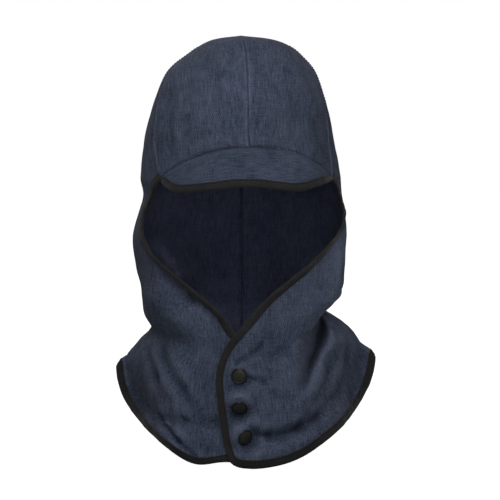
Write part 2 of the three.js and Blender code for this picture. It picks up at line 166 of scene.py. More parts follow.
# Folds and dents of the worn cloth: a line on it that is pushed out or in
FOLDS = table(
    ("from_angle", "from_drop", "to_angle", "to_drop", "push", "width"),
    [
        # The left front, from the neck's deep fold to the hem
        (35, 306, 51, 302, 3, 9),
        (36, 292, 48, 288, 6, 19),
        (66, 222, 60, 256, 5, 15),
        (54, 308, 42, 326, -3, 14),
        (68, 306, 59, 325, 1.5, 8),
        (56, 345, 38, 371, -1.6, 5),
        (63, 346, 44, 375, 0.7, 6),
        (70, 350, 50, 384, -1.6, 6),
        (56, 334, 46, 374, -3.5, 10),
        (3, 326, 12, 331, -3, 3.2),
        (-2, 312, 14, 298, -3, 4),
        (20, 308, 34, 303, -1.6, 5),
        (-6, 337, 4, 331, -1.6, 3.2),
        (16, 345, 26, 352, -1.8, 5),
        (5, 377, 13, 382, -5, 4.4),
        (13, 382, 28, 384, -6, 4.6),
        (28, 384, 39, 387, -4.5, 5.5),
        (39, 387, 54, 381, -1.5, 6.5),
        (8, 398, 32, 398, 2.4, 7),
        (24, 330, 28, 356, 3, 13),
        (52, 262, 28, 276, 2.5, 12),
        # The right front
        (-68, 324, -50, 348, -2.2, 7),
        (-50, 348, -40, 363, -1.8, 7),
        (-53, 315, -32, 344, -2.6, 8),
        (-32, 344, -22, 363, -2.2, 7.5),
        (-59, 321, -37, 349, 1.5, 7),
        (-47, 308, -27, 337, 2.2, 9),
        (-43, 391.5, -31, 399, -3.4, 3.4),
        (-31, 399, -23, 403.5, -2.8, 3.2),
        (-38, 389, -20, 400, 1.6, 4),
        (-43, 389, -29, 377, -2.6, 4.5),
        (-29, 377, -13, 370, -3, 4.5),
        (-30, 388, -13, 384, 2, 7),
        (-44, 230, -28, 252, -4.2, 8),
        (-28, 252, -15, 262, -3.6, 7),
        (-62, 258, -36, 275, 3.6, 15),
        (-36, 275, -18, 280, 2.6, 11),
        # The crown
        (-4, 16, -12, 21, -1.2, 8),
        (-14, 23, -21, 42, -1.5, 8),
        (-17, 48, -2, 59, 1.2, 5),
        (-40, 30, -37, 40, 1.8, 12),
        (40, 30, 41, 42, 1.5, 12),
        (-58, 62, -50, 108, -0.9, 10),
        (-47, 62, -44, 106, 1.2, 7),
        (-38, 84, -36, 112, -1.2, 8),
        (38, 62, 29, 98, -1.7, 12),
        (14, 66, 10, 100, 0.9, 11),
        # The sides, from the jaw to the shoulders
        (84, 250, 97, 282, -3, 9),
        (-84, 250, -98, 284, -3, 9),
        (102, 232, 112, 262, 2, 10),
        (104, 300, 118, 352, 3, 14),
        (-104, 302, -120, 350, 3, 14),
        # The back
        (128, 292, 150, 340, -5, 13),
        (-128, 296, -152, 342, -5, 13),
        (150, 268, 205, 276, 3, 12),
        (125, 262, 165, 286, -3.5, 8),
        (-125, 264, -168, 284, -3.5, 8),
        (140, 306, 168, 300, -2.4, 7),
        (-118, 330, -132, 380, 2.6, 12),
        (132, 330, 140, 382, 2.6, 12),
        (-150, 240, -120, 250, -2, 9),
        (142, 200, 122, 228, -1.5, 14),
        (-146, 150, -130, 190, -1.2, 16),
    ],
)

# The deep fold between the left front and the shoulder, which runs straight back into the cloth: stops down
# its line, each with its depth and its width on the shoulder's side. Towards the front it is wider by
# DEEP_FOLD_EASE.
DEEP_FOLD = table(
    ("angle", "drop", "depth", "width"),
    [
        (80, 296, 0, 3),
        (76, 299, 9, 3),
        (71, 303, 18, 3.4),
        (64, 309, 24, 4.2),
        (56.5, 315, 27, 5),
        (48.5, 322, 28, 5.2),
        (42.5, 329, 27, 5.2),
        (37.5, 337, 23, 5),
        (34.5, 343.5, 13, 4.6),
        (31.5, 350, 0, 4.2),
    ],
)
DEEP_FOLD_EASE = 1.7
DEEP_FOLD_TURN = 20

# Wrinkles all over: the size of a wrinkle, how far it is drawn out upright, and its height over the crown
# and over the cape
WRINKLES = table(
    ("size", "stretch", "crown", "cape"),
    [
        (52, 1, 2, 2),
        (30, 2.4, 0, 2.6),
        (17, 1.5, 0.7, 1.2),
        (7.5, 1.2, 0.22, 0.3),
    ],
)
CAPE_DROPS = (285, 335)

# The hem: its waves, the lift and the flattened wings at the sides, and the roll of its edge. Folds fade
# out over FOLD_FADE, counted up from the hem.
FOLD_FADE = (-4, 12)
HEM_WAVES = SimpleNamespace(count=9, height=1, phase=40, drops=(360, HEM_DROP))
SIDE_HEM = SimpleNamespace(lift=7, reach=0.24, drops=(372, HEM_DROP))
SIDE_WING = SimpleNamespace(share=0.85, bend=(0.35, 0.85), fall=29, spread=0.055, drops=(305, HEM_DROP))
HEM_ROLL = SimpleNamespace(depth=3, reach=9)

# On the right front the hem dips a little and turns under, which narrows its tape.
HEM_DIP = SimpleNamespace(angle=-21, width=7.5, depth=2.3, drops=(372, HEM_DROP))
HEM_TUCK = SimpleNamespace(depth=3.5, narrow=0.24, angles=(-62, -44, -13, -5), drops=(380, 400))

# The edges of the face opening flare out, which narrows their tape and shifts them a little. The right one
# turns down where it goes under the left one. Four drops or angles are where such a change begins, is full,
# begins to ease and ends.
FACE_FLARES = {
    LEFT: SimpleNamespace(height=2.6, reach=8, narrow=0.16, shift=2, drops=(150, 172, 235, 285)),
    RIGHT: SimpleNamespace(height=5, reach=15, narrow=0.3, shift=-0.5, drops=(189, 221, 260, 292)),
}
FACE_TURN = SimpleNamespace(angle=5.2, drops=(264, 284, 294, 316))

# Along a slanted edge, EDGE_SLANT makes a level distance one square to the edge. A roll goes on past its edge
# up to EDGE_PAST. The tape puckers the cloth beside it.
EDGE_SLANT = 0.7
EDGE_PAST = 1.5
EDGE_PUCKER = SimpleNamespace(size=6.5, height=0.7, reach=9)

# Seams: the dip at the seam line and the raised, topstitched band beside it
SEAM_GAP = 0.03
SEAM_DIP = 1.4
SEAM_ROLL = 1
FELL_HEIGHT = 0.35
FELL_BAND = (0.6, 1.8, 7, 8.4)
FELL_STITCHES = (1.9, 6)
SEAM_FADE = (0, 14)
CORNER_FADE = (CORNER_DROP - 8, CORNER_DROP)

# The bill's seam, which the crown bulges over on the right and lies flat on at the left
BILL_SEAM_BULGE = SimpleNamespace(height=0.9, above=8, width=6)
BILL_SEAM_LEFT = SimpleNamespace(share=0.12, angles=(-6, 22), across=(-0.1, 0.4))
BILL_SEAM_ROLL = 0.07

# Snaps: where each sits, how its face tips up or down and leans to a side
SNAPS = table(
    ("name", "angle", "drop", "tip", "lean"),
    [
        ("1", -0.6, 324, -0.3, 0.05),
        ("2", -0.6, 353.5, -0.95, 0),
        ("3", 1.7, 381.5, -0.5, -0.75),
    ],
)
SNAP_FLAT = 9
SNAP_REACH = 13

# Run of the cloth's yarns, with lengths down a side panel measured at MEASURE_ANGLE
GRAIN_PER_DEGREE = 1.83
GRAIN_START = SimpleNamespace(panel=37, crown=911, bill=2300)
MEASURE_ANGLE = 120
LEVEL_DROP = 200
BILL_LENGTH = 42

# Fineness of the meshes
CROWDING = 0.7
PANEL_ROWS = 220
PANEL_COLUMNS = 215
CROWN_ROWS = 84
CROWN_COLUMNS = 72
SEAM_PASSES = 6
BILL_ROWS = 26
BILL_COLUMNS = 130
MERIDIAN_POINTS = 3000
RIDGE_REACH = 3
TAPE_STEP = 1.9
SNAP_SIDES = 56
SHARP_ANGLE = SimpleNamespace(cloth=50, tape=60, thread=80, snap=42)


def smoothstep(value, low, high):
    share = np.clip((value - low) / (high - low), 0, 1)
    return share * share * (3 - 2 * share)


def swell(value, begin, full, ease, end):
    """Rises from 0 at begin to 1 at full, and falls from 1 at ease to 0 at end."""
    return smoothstep(value, begin, full) * (1 - smoothstep(value, ease, end))


def lerp(start, end, share):
    return start + (end - start) * share


def unit(vectors):
    return vectors / np.maximum(np.linalg.norm(vectors, axis=-1, keepdims=True), 1e-12)


def smooth_curve(xs, ys, at):
    """Smooth curve through the points: the slope at a point is that between its neighbours."""
    slopes = np.empty(len(ys))
    slopes[1:-1] = (ys[2:] - ys[:-2]) / (xs[2:] - xs[:-2])
    slopes[0] = (ys[1] - ys[0]) / (xs[1] - xs[0])
    slopes[-1] = (ys[-1] - ys[-2]) / (xs[-1] - xs[-2])
    k = np.clip(np.searchsorted(xs, at, side="right") - 1, 0, len(xs) - 2)
    span = xs[k + 1] - xs[k]
    s = np.maximum((at - xs[k]) / span, 0)
    s2 = s * s
    s3 = s2 * s
    start = ys[k] * (2 * s3 - 3 * s2 + 1) + slopes[k] * span * (s3 - 2 * s2 + s)
    end = ys[k + 1] * (3 * s2 - 2 * s3) + slopes[k + 1] * span * (s3 - s2)
    return start + end


SECTION_ROOTS = np.sqrt(column(SECTIONS, "drop"))
SECTION_COLUMNS = {name: column(SECTIONS, name) for name in vars(SECTIONS[0])}


def form(angle, drop):
    """The smooth form of the hood, before folds."""
    angle, drop = np.broadcast_arrays(np.asarray(angle, float), np.asarray(drop, float))
    at = np.sqrt(np.maximum(drop, 0))
    cut = {name: smooth_curve(SECTION_ROOTS, values, at) for name, values in SECTION_COLUMNS.items()}
    front_share = (1 + np.cos(np.radians(angle))) / 2
    turned = np.radians(angle + cut["turn"] * front_share)
    sine = np.sin(turned)
    cosine = np.cos(turned)
    wide = np.where(sine < 0, cut["right"], cut["left"])
    deep = np.where(cosine > 0, cut["front"], cut["back"])
    side_drop = np.where(sine < 0, cut["drop_right"], cut["drop_left"])
    end_drop = np.where(cosine > 0, cut["drop"], cut["drop_back"])
    power = np.where(cosine > 0, FRONT_DROP_POWER, BACK_DROP_POWER)
    low = lerp(end_drop, side_drop, np.abs(sine) ** power)
    side = np.exp(-((cosine / SIDE_HEM.reach) ** 2)) * smoothstep(drop, *SIDE_HEM.drops)
    wing = smoothstep(drop, *SIDE_WING.drops) * (cosine > 0) * (1 - smoothstep(cosine, *SIDE_WING.bend))
    dip = np.exp(-(((angle - HEM_DIP.angle) / HEM_DIP.width) ** 2)) * smoothstep(drop, *HEM_DIP.drops)
    low = low - SIDE_HEM.lift * side + SIDE_WING.fall * wing * cosine + HEM_DIP.depth * dip
    deep = deep * (1 - SIDE_WING.share * wing)
    wide = wide * (1 + SIDE_WING.spread * wing * cosine)
    return np.stack([wide * sine, -deep * cosine, -low], axis=-1)


def slopes_of(sheet, first, second, first_step, second_step):
    """How a sheet's point moves with each of its two coordinates."""
    along_first = sheet(first + first_step, second) - sheet(first - first_step, second)
    along_second = sheet(first, second + second_step) - sheet(first, second - second_step)
    return along_first / (2 * first_step), along_second / (2 * np.asarray(second_step)[..., None])


def outward(angle, drop):
    """Outward direction of the smooth form."""
    drop_step = np.minimum(SLOPE_STEP, np.asarray(drop, float) / 2)
    across, down = slopes_of(form, angle, drop, SLOPE_STEP, drop_step)
    return unit(np.cross(down, across))


def noise_at(points, size, stretch=1.0):
    """Smooth noise at each point, in lumps of the given size drawn out upright."""
    scaled = (points / np.array([size, size, size * stretch])).reshape(-1, 3)
    values = [noise.noise(place) for place in scaled.tolist()]
    return np.array(values).reshape(points.shape[:-1])


def beside_line(angle, drop, start, end):
    """Where places are beside a line between two stops, each an angle and a drop: the share along the line,
    the distance from it and the side of it."""
    x = (angle - start[0]) * MM_PER_DEGREE
    y = drop - start[1]
    run_x = (end[0] - start[0]) * MM_PER_DEGREE
    run_y = end[1] - start[1]
    along = np.clip((x * run_x + y * run_y) / (run_x**2 + run_y**2), 0, 1)
    return along, np.hypot(x - along * run_x, y - along * run_y), run_x * y - run_y * x


def fold_push(angle, drop):
    """Push of all the folds at places on the cloth."""
    push = np.zeros(np.broadcast(angle, drop).shape)
    for fold in FOLDS:
        start = (fold.from_angle, fold.from_drop)
        end = (fold.to_angle, fold.to_drop)
        turns = np.round(((fold.from_angle + fold.to_angle) / 2 - angle) / 360) * 360
        away = beside_line(angle + turns, drop, start, end)[1]
        push = push + fold.push * np.exp(-((away / fold.width) ** 2))
    return push


def deep_fold(angle, drop):
    """How far the cloth goes back in the deep fold, gently from the front and steeply from the shoulder."""
    depth = np.zeros(np.broadcast(angle, drop).shape)
    for start, end in zip(DEEP_FOLD, DEEP_FOLD[1:]):
        along, away, side = beside_line(angle, drop, (start.angle, start.drop), (end.angle, end.drop))
        front = smoothstep(side, -DEEP_FOLD_TURN, DEEP_FOLD_TURN)
        width = lerp(start.width, end.width, along) * lerp(1, DEEP_FOLD_EASE, front)
        here = lerp(start.depth, end.depth, along) * np.exp(-((away / width) ** 2))
        depth = np.maximum(depth, here)
    return depth


def from_snap(snap, angle, drop):
    """How far across and down a place is from a snap."""
    return (angle - snap.angle) * MM_PER_DEGREE, drop - snap.drop


def snap_rest(angle, drop):
    """The cloth lies flat under each snap."""
    rest = 1.0
    for snap in SNAPS:
        across, down = from_snap(snap, angle, drop)
        rest = rest * (1 - np.exp(-((np.hypot(across, down) / SNAP_FLAT) ** 4)))
    return rest


def snap_tilt(angle, drop):
    """Each snap tips the cloth round it."""
    push = 0.0
    for snap in SNAPS:
        across, down = from_snap(snap, angle, drop)
        near = np.exp(-((np.hypot(across, down) / SNAP_REACH) ** 4))
        push = push + (snap.tip * down + snap.lean * across) * near
    return push


def near_edge(from_edge, reach):
    """The share of an edge's roll: 1 at the edge, 0 at its reach and more than 1 just past the edge."""
    return np.clip(1 - from_edge / reach, 0, EDGE_PAST) ** 2


def hem_tuck(angle):
    """Where the right front's hem turns under, from 0 to 1."""
    return swell(angle, *HEM_TUCK.angles)


def cloth_push(angle, drop, base):
    """How far the worn cloth stands out from the smooth form: folds, wrinkles, hem waves and snaps."""
    cape = smoothstep(drop, *CAPE_DROPS)
    push = fold_push(angle, drop) * smoothstep(HEM_DROP - drop, *FOLD_FADE)
    for wrinkle in WRINKLES:
        height = lerp(wrinkle.crown, wrinkle.cape, cape)
        push = push + height * noise_at(base, wrinkle.size, wrinkle.stretch)
    wave = np.sin(np.radians(HEM_WAVES.count * angle + HEM_WAVES.phase))
    push = push + HEM_WAVES.height * wave * smoothstep(drop, *HEM_WAVES.drops)
    push = push * smoothstep(drop, *SEAM_FADE)
    roll = HEM_ROLL.depth + HEM_TUCK.depth * hem_tuck(angle)
    push = push - roll * near_edge(HEM_DROP - drop, HEM_ROLL.reach)
    return push * snap_rest(angle, drop) + snap_tilt(angle, drop)


def seam_roll(away):
    """The cloth rolls in at a seam."""
    return -SEAM_DIP * np.exp(-((away / SEAM_ROLL) ** 2))


def felled_band(away):
    """The doubled, topstitched band beside a seam stands a little proud."""
    return FELL_HEIGHT * swell(away, *FELL_BAND)


def side_seam_angle(drop):
    share = np.clip(drop / CORNER_DROP, 0, 1) ** SIDE_SEAM_POWER
    return lerp(SIDE_SEAM_TOP_ANGLE, CORNER_ANGLE, share)


EDGE_DROPS = column(FRONT_EDGE, "drop")
EDGE_ANGLES = column(FRONT_EDGE, "angle")


def front_edge_angle(drop):
    free = smooth_curve(EDGE_DROPS, EDGE_ANGLES, drop)
    return np.where(drop < CORNER_DROP, side_seam_angle(drop), free)


def bill_seam_drop(angle):
    share = np.clip(np.abs(angle) / CORNER_ANGLE, 0, 1) ** BILL_SEAM_POWER
    return lerp(BILL_SEAM_DROP, CORNER_DROP, share)


def panel_front(side, drop):
    """Where a side panel begins, in degrees from the centre front towards its own side."""
    flare = FACE_FLARES[side]
    front = front_edge_angle(drop) - flare.shift * swell(drop, *flare.drops)
    if side == LEFT:
        return front
    hidden = UNDERLAP_REACH.angle * smoothstep(drop, *UNDERLAP_REACH.drops)
    return front - hidden + FACE_TURN.angle * swell(drop, *FACE_TURN.drops)


def underlap_rise(angle, drop):
    """The right panel's front corner hangs a little higher than the left one's."""
    inner = smoothstep(angle, *UNDERLAP_RISE.angles)
    return UNDERLAP_RISE.height * inner * smoothstep(drop, *UNDERLAP_RISE.drops)


def lap_sink(angle, drop):
    """The right front sinks under the left one."""
    return LAP_SINK.depth * smoothstep(drop, *LAP_SINK.drops) * smoothstep(angle, *LAP_SINK.angles)


def lap_settle(from_edge, drop):
    """The left front's edge settles on to the right front."""
    near = 1 - smoothstep(from_edge, *LAP_SETTLE.reach)
    return LAP_SETTLE.depth * near * smoothstep(drop, *LAP_SETTLE.drops)


def face_flare(side, from_edge, drop):
    """A front's edge flares out along the face opening."""
    flare = FACE_FLARES[side]
    return flare.height * near_edge(from_edge * EDGE_SLANT, flare.reach) * swell(drop, *flare.drops)


def girth_per_degree(points):
    return np.radians(np.hypot(points[..., 0], points[..., 1]))


def panel_sheet(side):
    """A side panel's cloth as a surface of angle and drop."""

    def sheet(angle, drop):
        angle, drop = np.broadcast_arrays(np.asarray(angle, float), np.asarray(drop, float))
        hang = drop if side == LEFT else drop - underlap_rise(angle, drop)
        base = form(angle, hang)
        scale = girth_per_degree(base)
        turned = side * angle
        from_back = (BACK_ANGLE - turned) * scale
        from_seam = (turned - side_seam_angle(hang)) * scale
        from_edge = (turned - panel_front(side, drop)) * scale
        sewn = smoothstep(hang, *SEAM_FADE)
        crown = sewn * (1 - smoothstep(hang, *CORNER_FADE))
        push = cloth_push(angle, hang, base)
        push = push + sewn * (seam_roll(from_back) + (felled_band(from_back) if side == LEFT else 0))
        push = push + crown * (seam_roll(from_seam) + felled_band(from_seam))
        edge = np.where(drop > CORNER_DROP, np.minimum(from_edge, HEM_DROP - drop), np.inf)
        pucker = EDGE_PUCKER.height * np.exp(-((edge / EDGE_PUCKER.reach) ** 2))
        push = push + pucker * noise_at(base, EDGE_PUCKER.size) + face_flare(side, from_edge, drop)
        push = push - (lap_settle(from_edge, drop) if side == LEFT else lap_sink(angle, hang))
        place = base + outward(angle, hang) * push[..., None]
        if side == LEFT:
            place[..., 1] += deep_fold(angle, drop)
        return place

    return sheet


def crown_sheet(side):
    """A front crown gore's cloth as a surface of angle and drop."""

    def sheet(angle, drop):
        angle, drop = np.broadcast_arrays(np.asarray(angle, float), np.asarray(drop, float))
        base = form(angle, drop)
        scale = girth_per_degree(base)
        from_centre = side * angle * scale
        from_seam = (side_seam_angle(drop) - side * angle) * scale
        above_bill = bill_seam_drop(angle) - drop
        sewn = smoothstep(drop, *SEAM_FADE)
        push = cloth_push(angle, drop, base)
        push = push + sewn * (seam_roll(from_centre) + (felled_band(from_centre) if side == LEFT else 0))
        push = push + sewn * seam_roll(from_seam)
        bulge = np.exp(-(((above_bill - BILL_SEAM_BULGE.above) / BILL_SEAM_BULGE.width) ** 2))
        depth = lerp(1, BILL_SEAM_LEFT.share, smoothstep(angle, *BILL_SEAM_LEFT.angles))
        push = push + depth * (BILL_SEAM_BULGE.height * bulge + seam_roll(above_bill))
        return base + outward(angle, drop) * push[..., None]

    return sheet


# Creases and wrinkles of the bill, placed across from right (-1) to left (1) and down from its seam
BILL_FOLDS = table(
    ("across", "down", "push", "wide", "long"),
    [
        (0.5, 0.3, -1.3, 0.07, 0.3),
        (0.62, 0.6, 1, 0.09, 0.3),
        (-0.62, 0.35, -1, 0.1, 0.3),
        (-0.1, 0.55, 0.8, 0.2, 0.35),
    ],
)
BILL_WRINKLES = table(("size", "height"), [(26, 1.3), (10, 0.5)])
BILL_SLOPE_STEP = 0.01


def bill_form(across, down):
    """The bill from its seam (down = 0) to its free edge (down = 1), across from right (-1) to left (1)."""
    across, down = np.broadcast_arrays(np.asarray(across, float), np.asarray(down, float))
    angle = across * CORNER_ANGLE
    middle = 1 - across * across
    seam = form(angle, bill_seam_drop(angle))
    edge = form(angle, CORNER_DROP)
    reach = 1 + BILL_REACH * middle
    dip = smooth_curve(column(BILL_EDGE, "across"), column(BILL_EDGE, "dip"), across)
    edge = edge * np.stack([reach, reach, np.ones_like(reach)], axis=-1)
    edge[..., 2] -= dip
    lift = BILL_BOW * 4 * down * (1 - down) * middle
    place = lerp(seam, edge, down[..., None])
    return place + np.stack([0 * lift, -lift, lift], axis=-1)


def bill_sheet(across, down):
    """The bill's cloth, with its soft creases and the roll at its seam."""
    across, down = np.broadcast_arrays(np.asarray(across, float), np.asarray(down, float))
    base = bill_form(across, down)
    along, fall = slopes_of(bill_form, across, down, BILL_SLOPE_STEP, BILL_SLOPE_STEP)
    push = sum(wrinkle.height * noise_at(base, wrinkle.size) for wrinkle in BILL_WRINKLES)
    for fold in BILL_FOLDS:
        away = ((across - fold.across) / fold.wide) ** 2 + ((down - fold.down) / fold.long) ** 2
        push = push + fold.push * np.exp(-away)
    depth = lerp(1, BILL_SEAM_LEFT.share, smoothstep(across, *BILL_SEAM_LEFT.across))
    push = push - SEAM_DIP * depth * np.exp(-((down / BILL_SEAM_ROLL) ** 2))
    return base + unit(np.cross(fall, along)) * push[..., None]


def meridian(angle):
    """Drops from the top to the hem and the lengths down the cloth to them."""
    drops = np.linspace(math.sqrt(APEX_DROP), math.sqrt(HEM_DROP), MERIDIAN_POINTS) ** 2
    steps = np.linalg.norm(np.diff(form(angle, drops), axis=0), axis=-1)
    return drops, np.concatenate([[0], np.cumsum(steps)])


def even_drops(angle, low_drop, shares):
    """Drops at shares of the length down the cloth from the top to the lowest drop."""
    drops, lengths = meridian(angle)
    return np.interp(shares * np.interp(low_drop, drops, lengths), lengths, drops)


def crowded(count):
    """Shares from 0 to 1 that crowd towards both ends, where the seams and edges are."""
    even = np.linspace(0, 1, count)
    return lerp(even, 0.5 - 0.5 * np.cos(math.pi * even), CROWDING)


def panel_grain(side, angle, drop, points):
    """Places along the weft and the warp of a side panel, whose warp is upright, and depths of its folds."""
    girth = np.radians(np.abs(form(BACK_ANGLE, drop)[..., 1]))
    per_degree = np.where(drop < CORNER_DROP, np.minimum(girth, GRAIN_PER_DEGREE), GRAIN_PER_DEGREE)
    weft = (BACK_ANGLE - side * angle) * per_degree
    warp = np.interp(np.minimum(drop, LEVEL_DROP), *meridian(side * MEASURE_ANGLE))
    base = form(angle, drop)
    return weft, warp + np.maximum(-base[..., 2] - LEVEL_DROP, 0), np.linalg.norm(points - base, axis=-1)


def crown_grain(side, angle, drop, points):
    """The same of a crown gore, whose warp runs along the centre seam."""
    base = form(angle, drop)
    depth = np.linalg.norm(points - base, axis=-1)
    return side * angle * girth_per_degree(base), np.interp(drop, *meridian(0)), depth


def bill_grain(across, down):
    """The same of the bill, which is cut across the cloth and has no depths."""
    down, across = np.broadcast_arrays(down, across)
    return down * BILL_LENGTH, across * CORNER_ANGLE * MM_PER_DEGREE, 0 * down


def gap_angle(drop):
    """Half of a seam's gap as an angle."""
    reach = np.abs(form(BACK_ANGLE, drop)[..., 1])
    return np.degrees(SEAM_GAP / 2 / np.maximum(reach, 1))


def panel_grid(side):
    """Angles and drops of a side panel's mesh, from its front edge to the back seam."""
    drops = even_drops(side * MEASURE_ANGLE, HEM_DROP, np.linspace(0, 1, PANEL_ROWS))[:, None]
    share = crowded(PANEL_COLUMNS)[None, :]
    front = panel_front(side, drops) + np.where(drops < CORNER_DROP, gap_angle(drops), 0)
    angles = side * lerp(front, BACK_ANGLE - gap_angle(drops), share)
    return angles, drops + 0 * angles


def crown_grid(side):
    """Angles and drops of a crown gore's mesh, from the centre seam to the side seam and the bill's seam."""
    down = even_drops(0, BILL_SEAM_DROP, crowded(CROWN_ROWS))[:, None] / BILL_SEAM_DROP
    share = crowded(CROWN_COLUMNS)[None, :]
    drops = down * BILL_SEAM_DROP + 0 * share
    for _ in range(SEAM_PASSES):
        gap = gap_angle(drops)
        angles = lerp(gap, side_seam_angle(drops) - gap, share)
        drops = down * (bill_seam_drop(angles) - SEAM_GAP / 2)
    return side * angles, drops


def arc_lengths(points, axis):
    """Lengths along the rows or columns of a grid of points."""
    steps = np.linalg.norm(np.diff(points, axis=axis), axis=-1)
    start = np.zeros_like(np.take(steps, [0], axis=axis))
    return np.concatenate([start, np.cumsum(steps, axis=axis)], axis=axis)


def grid_normals(points):
    return unit(np.cross(np.gradient(points, axis=0), np.gradient(points, axis=1)))


def ridge_of(points, normals):
    """How sharply the cloth bulges at each point: above 0 on a ridge, below 0 in a valley."""
    bend = np.zeros(points.shape[:2])
    for axis in (0, 1):
        ahead = np.roll(points, -RIDGE_REACH, axis=axis)
        behind = np.roll(points, RIDGE_REACH, axis=axis)
        middle = (ahead + behind) / 2 - points
        spread = np.linalg.norm(ahead - behind, axis=-1) + 1e-6
        bend -= np.einsum("ijk,ijk->ij", middle, normals) / spread
    bend[:RIDGE_REACH] = bend[-RIDGE_REACH:] = 0
    bend[:, :RIDGE_REACH] = bend[:, -RIDGE_REACH:] = 0
    return bend


def add_object(name, verts, faces):
    """A mesh object made from millimetre points."""
    mesh = bpy.data.meshes.new(name)
    mesh.from_pydata((np.asarray(verts) * MM).tolist(), [], faces)
    obj = bpy.data.objects.new(name, mesh)
    bpy.context.scene.collection.objects.link(obj)
    return obj


def set_attribute(mesh, name, kind, values):
    field = "vector" if kind == "FLOAT_VECTOR" else "value"
    made = mesh.attributes.new(name, kind, "POINT")
    made.data.foreach_set(field, np.ascontiguousarray(values, np.float32).ravel())


def smooth_shading(mesh, sharp_angle):
    mesh.shade_smooth()
    mesh.set_sharp_from_angle(angle=math.radians(sharp_angle))


def cloth_object(name, points, grain, wall, facing, offset):
    """A sheet of cloth with an outer and an inner skin, closed round its border. offset moves its grain, so
    that no two pieces show the same yarns."""
    rows, cols = points.shape[:2]
    normals = grid_normals(points) * facing
    skins = [points + normals * wall / 2, points - normals * wall / 2]
    count = rows * cols
    index = np.arange(count).reshape(rows, cols)
    quads = np.stack([index[:-1, :-1], index[1:, :-1], index[1:, 1:], index[:-1, 1:]], axis=-1)
    quads = quads.reshape(-1, 4)
    border = np.concatenate([index[:, 0], index[-1, 1:], index[-2::-1, -1], index[0, -2:0:-1]])
    after = np.roll(border, -1)
    rim = np.stack([after, border, border + count, after + count], axis=-1)
    faces = np.concatenate([quads, quads[:, ::-1] + count, rim])
    if facing < 0:
        faces = faces[:, ::-1]
    obj = add_object(name, np.concatenate(skins).reshape(-1, 3), faces.tolist())
    weft, warp, depth = grain
    grain = np.stack([weft + offset, warp + offset, depth], axis=-1).reshape(-1, 3) * MM
    set_attribute(obj.data, "grain", "FLOAT_VECTOR", np.concatenate([grain, grain]))
    ridge = ridge_of(points, normals).ravel()
    set_attribute(obj.data, "ridge", "FLOAT", np.concatenate([ridge, -ridge]))
    skin = np.zeros(len(faces), np.int32)
    skin[len(quads):2 * len(quads)] = 1
    obj.data.polygons.foreach_set("material_index", skin)
    smooth_shading(obj.data, SHARP_ANGLE.cloth)
    return obj


# Folded tape: its section from the outer lip round the edge, as how far in from the cloth's edge and how
# high over the cloth's middle, for cloth of CLOTH_WALL. TAPE_GROOVE is the row that the stitches lie in.
TAPE_SECTION = table(
    ("inset", "height"),
    [
        (6.9, 0.66),
        (6.85, 1.08),
        (6.3, 1.3),
        (5.8, 1.18),
        (5.4, 1.12),
        (5, 1.2),
        (4.4, 1.4),
        (3, 1.56),
        (1.6, 1.54),
        (0.4, 1.4),
        (-0.4, 1.14),
        (-0.85, 0.7),
        (-1, 0),
    ],
)
TAPE_SLOT = SimpleNamespace(height=0.62, inset=0.15)
TAPE_GROOVE = TAPE_SECTION[4]
TAPE_EASE = SimpleNamespace(out=3, along=5, over=1)
TAPE_START_DROP = 139.6
EDGE_POINTS = 900


def even_path(sheet, first, second, step):
    """A path over a sheet, resampled at even steps."""
    steps = np.linalg.norm(np.diff(sheet(first, second), axis=0), axis=-1)
    length = np.concatenate([[0], np.cumsum(steps)])
    at = np.linspace(0, length[-1], max(int(length[-1] / step), 2))
    return np.interp(at, length, first), np.interp(at, length, second)


def eased(vectors, reach):
    """Directions along a path, averaged with their neighbours."""
    padded = np.pad(vectors, ((reach, reach), (0, 0)), mode="edge")
    total = sum(padded[k:k + len(vectors)] for k in range(2 * reach + 1))
    return unit(total)


def tape_rings(sheet, smooth, first, second, inside, steps, slack, room):
    """Rings of a folded tape along an edge path of a sheet. smooth is the sheet without its folds, inside a
    direction into the cloth in the sheet's own coordinates. slack raises the section for thicker cloth and
    room is the share of its width that the tape has at each stop."""
    edge = sheet(first, second)
    out = eased(unit(np.cross(*slopes_of(sheet, first, second, *steps)[::-1])), TAPE_EASE.out)
    along_first, along_second = slopes_of(smooth, first, second, *steps)
    flat = unit(np.cross(along_second, along_first))
    hint = along_first * inside[:, :1] + along_second * inside[:, 1:]
    inward = np.cross(flat, eased(np.gradient(smooth(first, second), axis=0), TAPE_EASE.along))
    inward = unit(inward * np.sign(np.sum(inward * hint, axis=-1, keepdims=True)))
    # Solve for the moves of the two coordinates that go one millimetre inwards.
    a = np.sum(along_first**2, axis=-1)
    b = np.sum(along_first * along_second, axis=-1)
    c = np.sum(along_second**2, axis=-1)
    p = np.sum(along_first * inward, axis=-1)
    q = np.sum(along_second * inward, axis=-1)
    move_first = (p * c - q * b) / (a * c - b * b)
    move_second = (q * a - p * b) / (a * c - b * b)

    def over(inset, height):
        if inset <= 0:
            return edge + inward * inset + out * height
        x = first + move_first * inset * room
        y = second + move_second * inset * room
        here = eased(unit(np.cross(*slopes_of(sheet, x, y, *steps)[::-1])), TAPE_EASE.over)
        return sheet(x, y) + here * height

    section = [(row.inset, row.height + slack) for row in TAPE_SECTION]
    section[-1] = (TAPE_SECTION[-1].inset, 0)
    section += [(inset, -height) for inset, height in section[-2::-1]]
    slot = TAPE_SLOT.height + slack
    lip = TAPE_SECTION[0].inset
    section += [(lip, -slot), (TAPE_SLOT.inset, -slot), (TAPE_SLOT.inset, slot), (lip, slot)]
    rings = np.stack([over(inset, height) for inset, height in section], axis=1)
    groove = TAPE_GROOVE.height + slack
    sewing = [(over(TAPE_GROOVE.inset, face * groove), face * out) for face in (1, -1)]
    return rings, sewing


def face_out(mesh):
    """Turns the faces of a closed mesh to look outwards."""
    work = bmesh.new()
    work.from_mesh(mesh)
    bmesh.ops.recalc_face_normals(work, faces=work.faces)
    work.to_mesh(mesh)
    work.free()


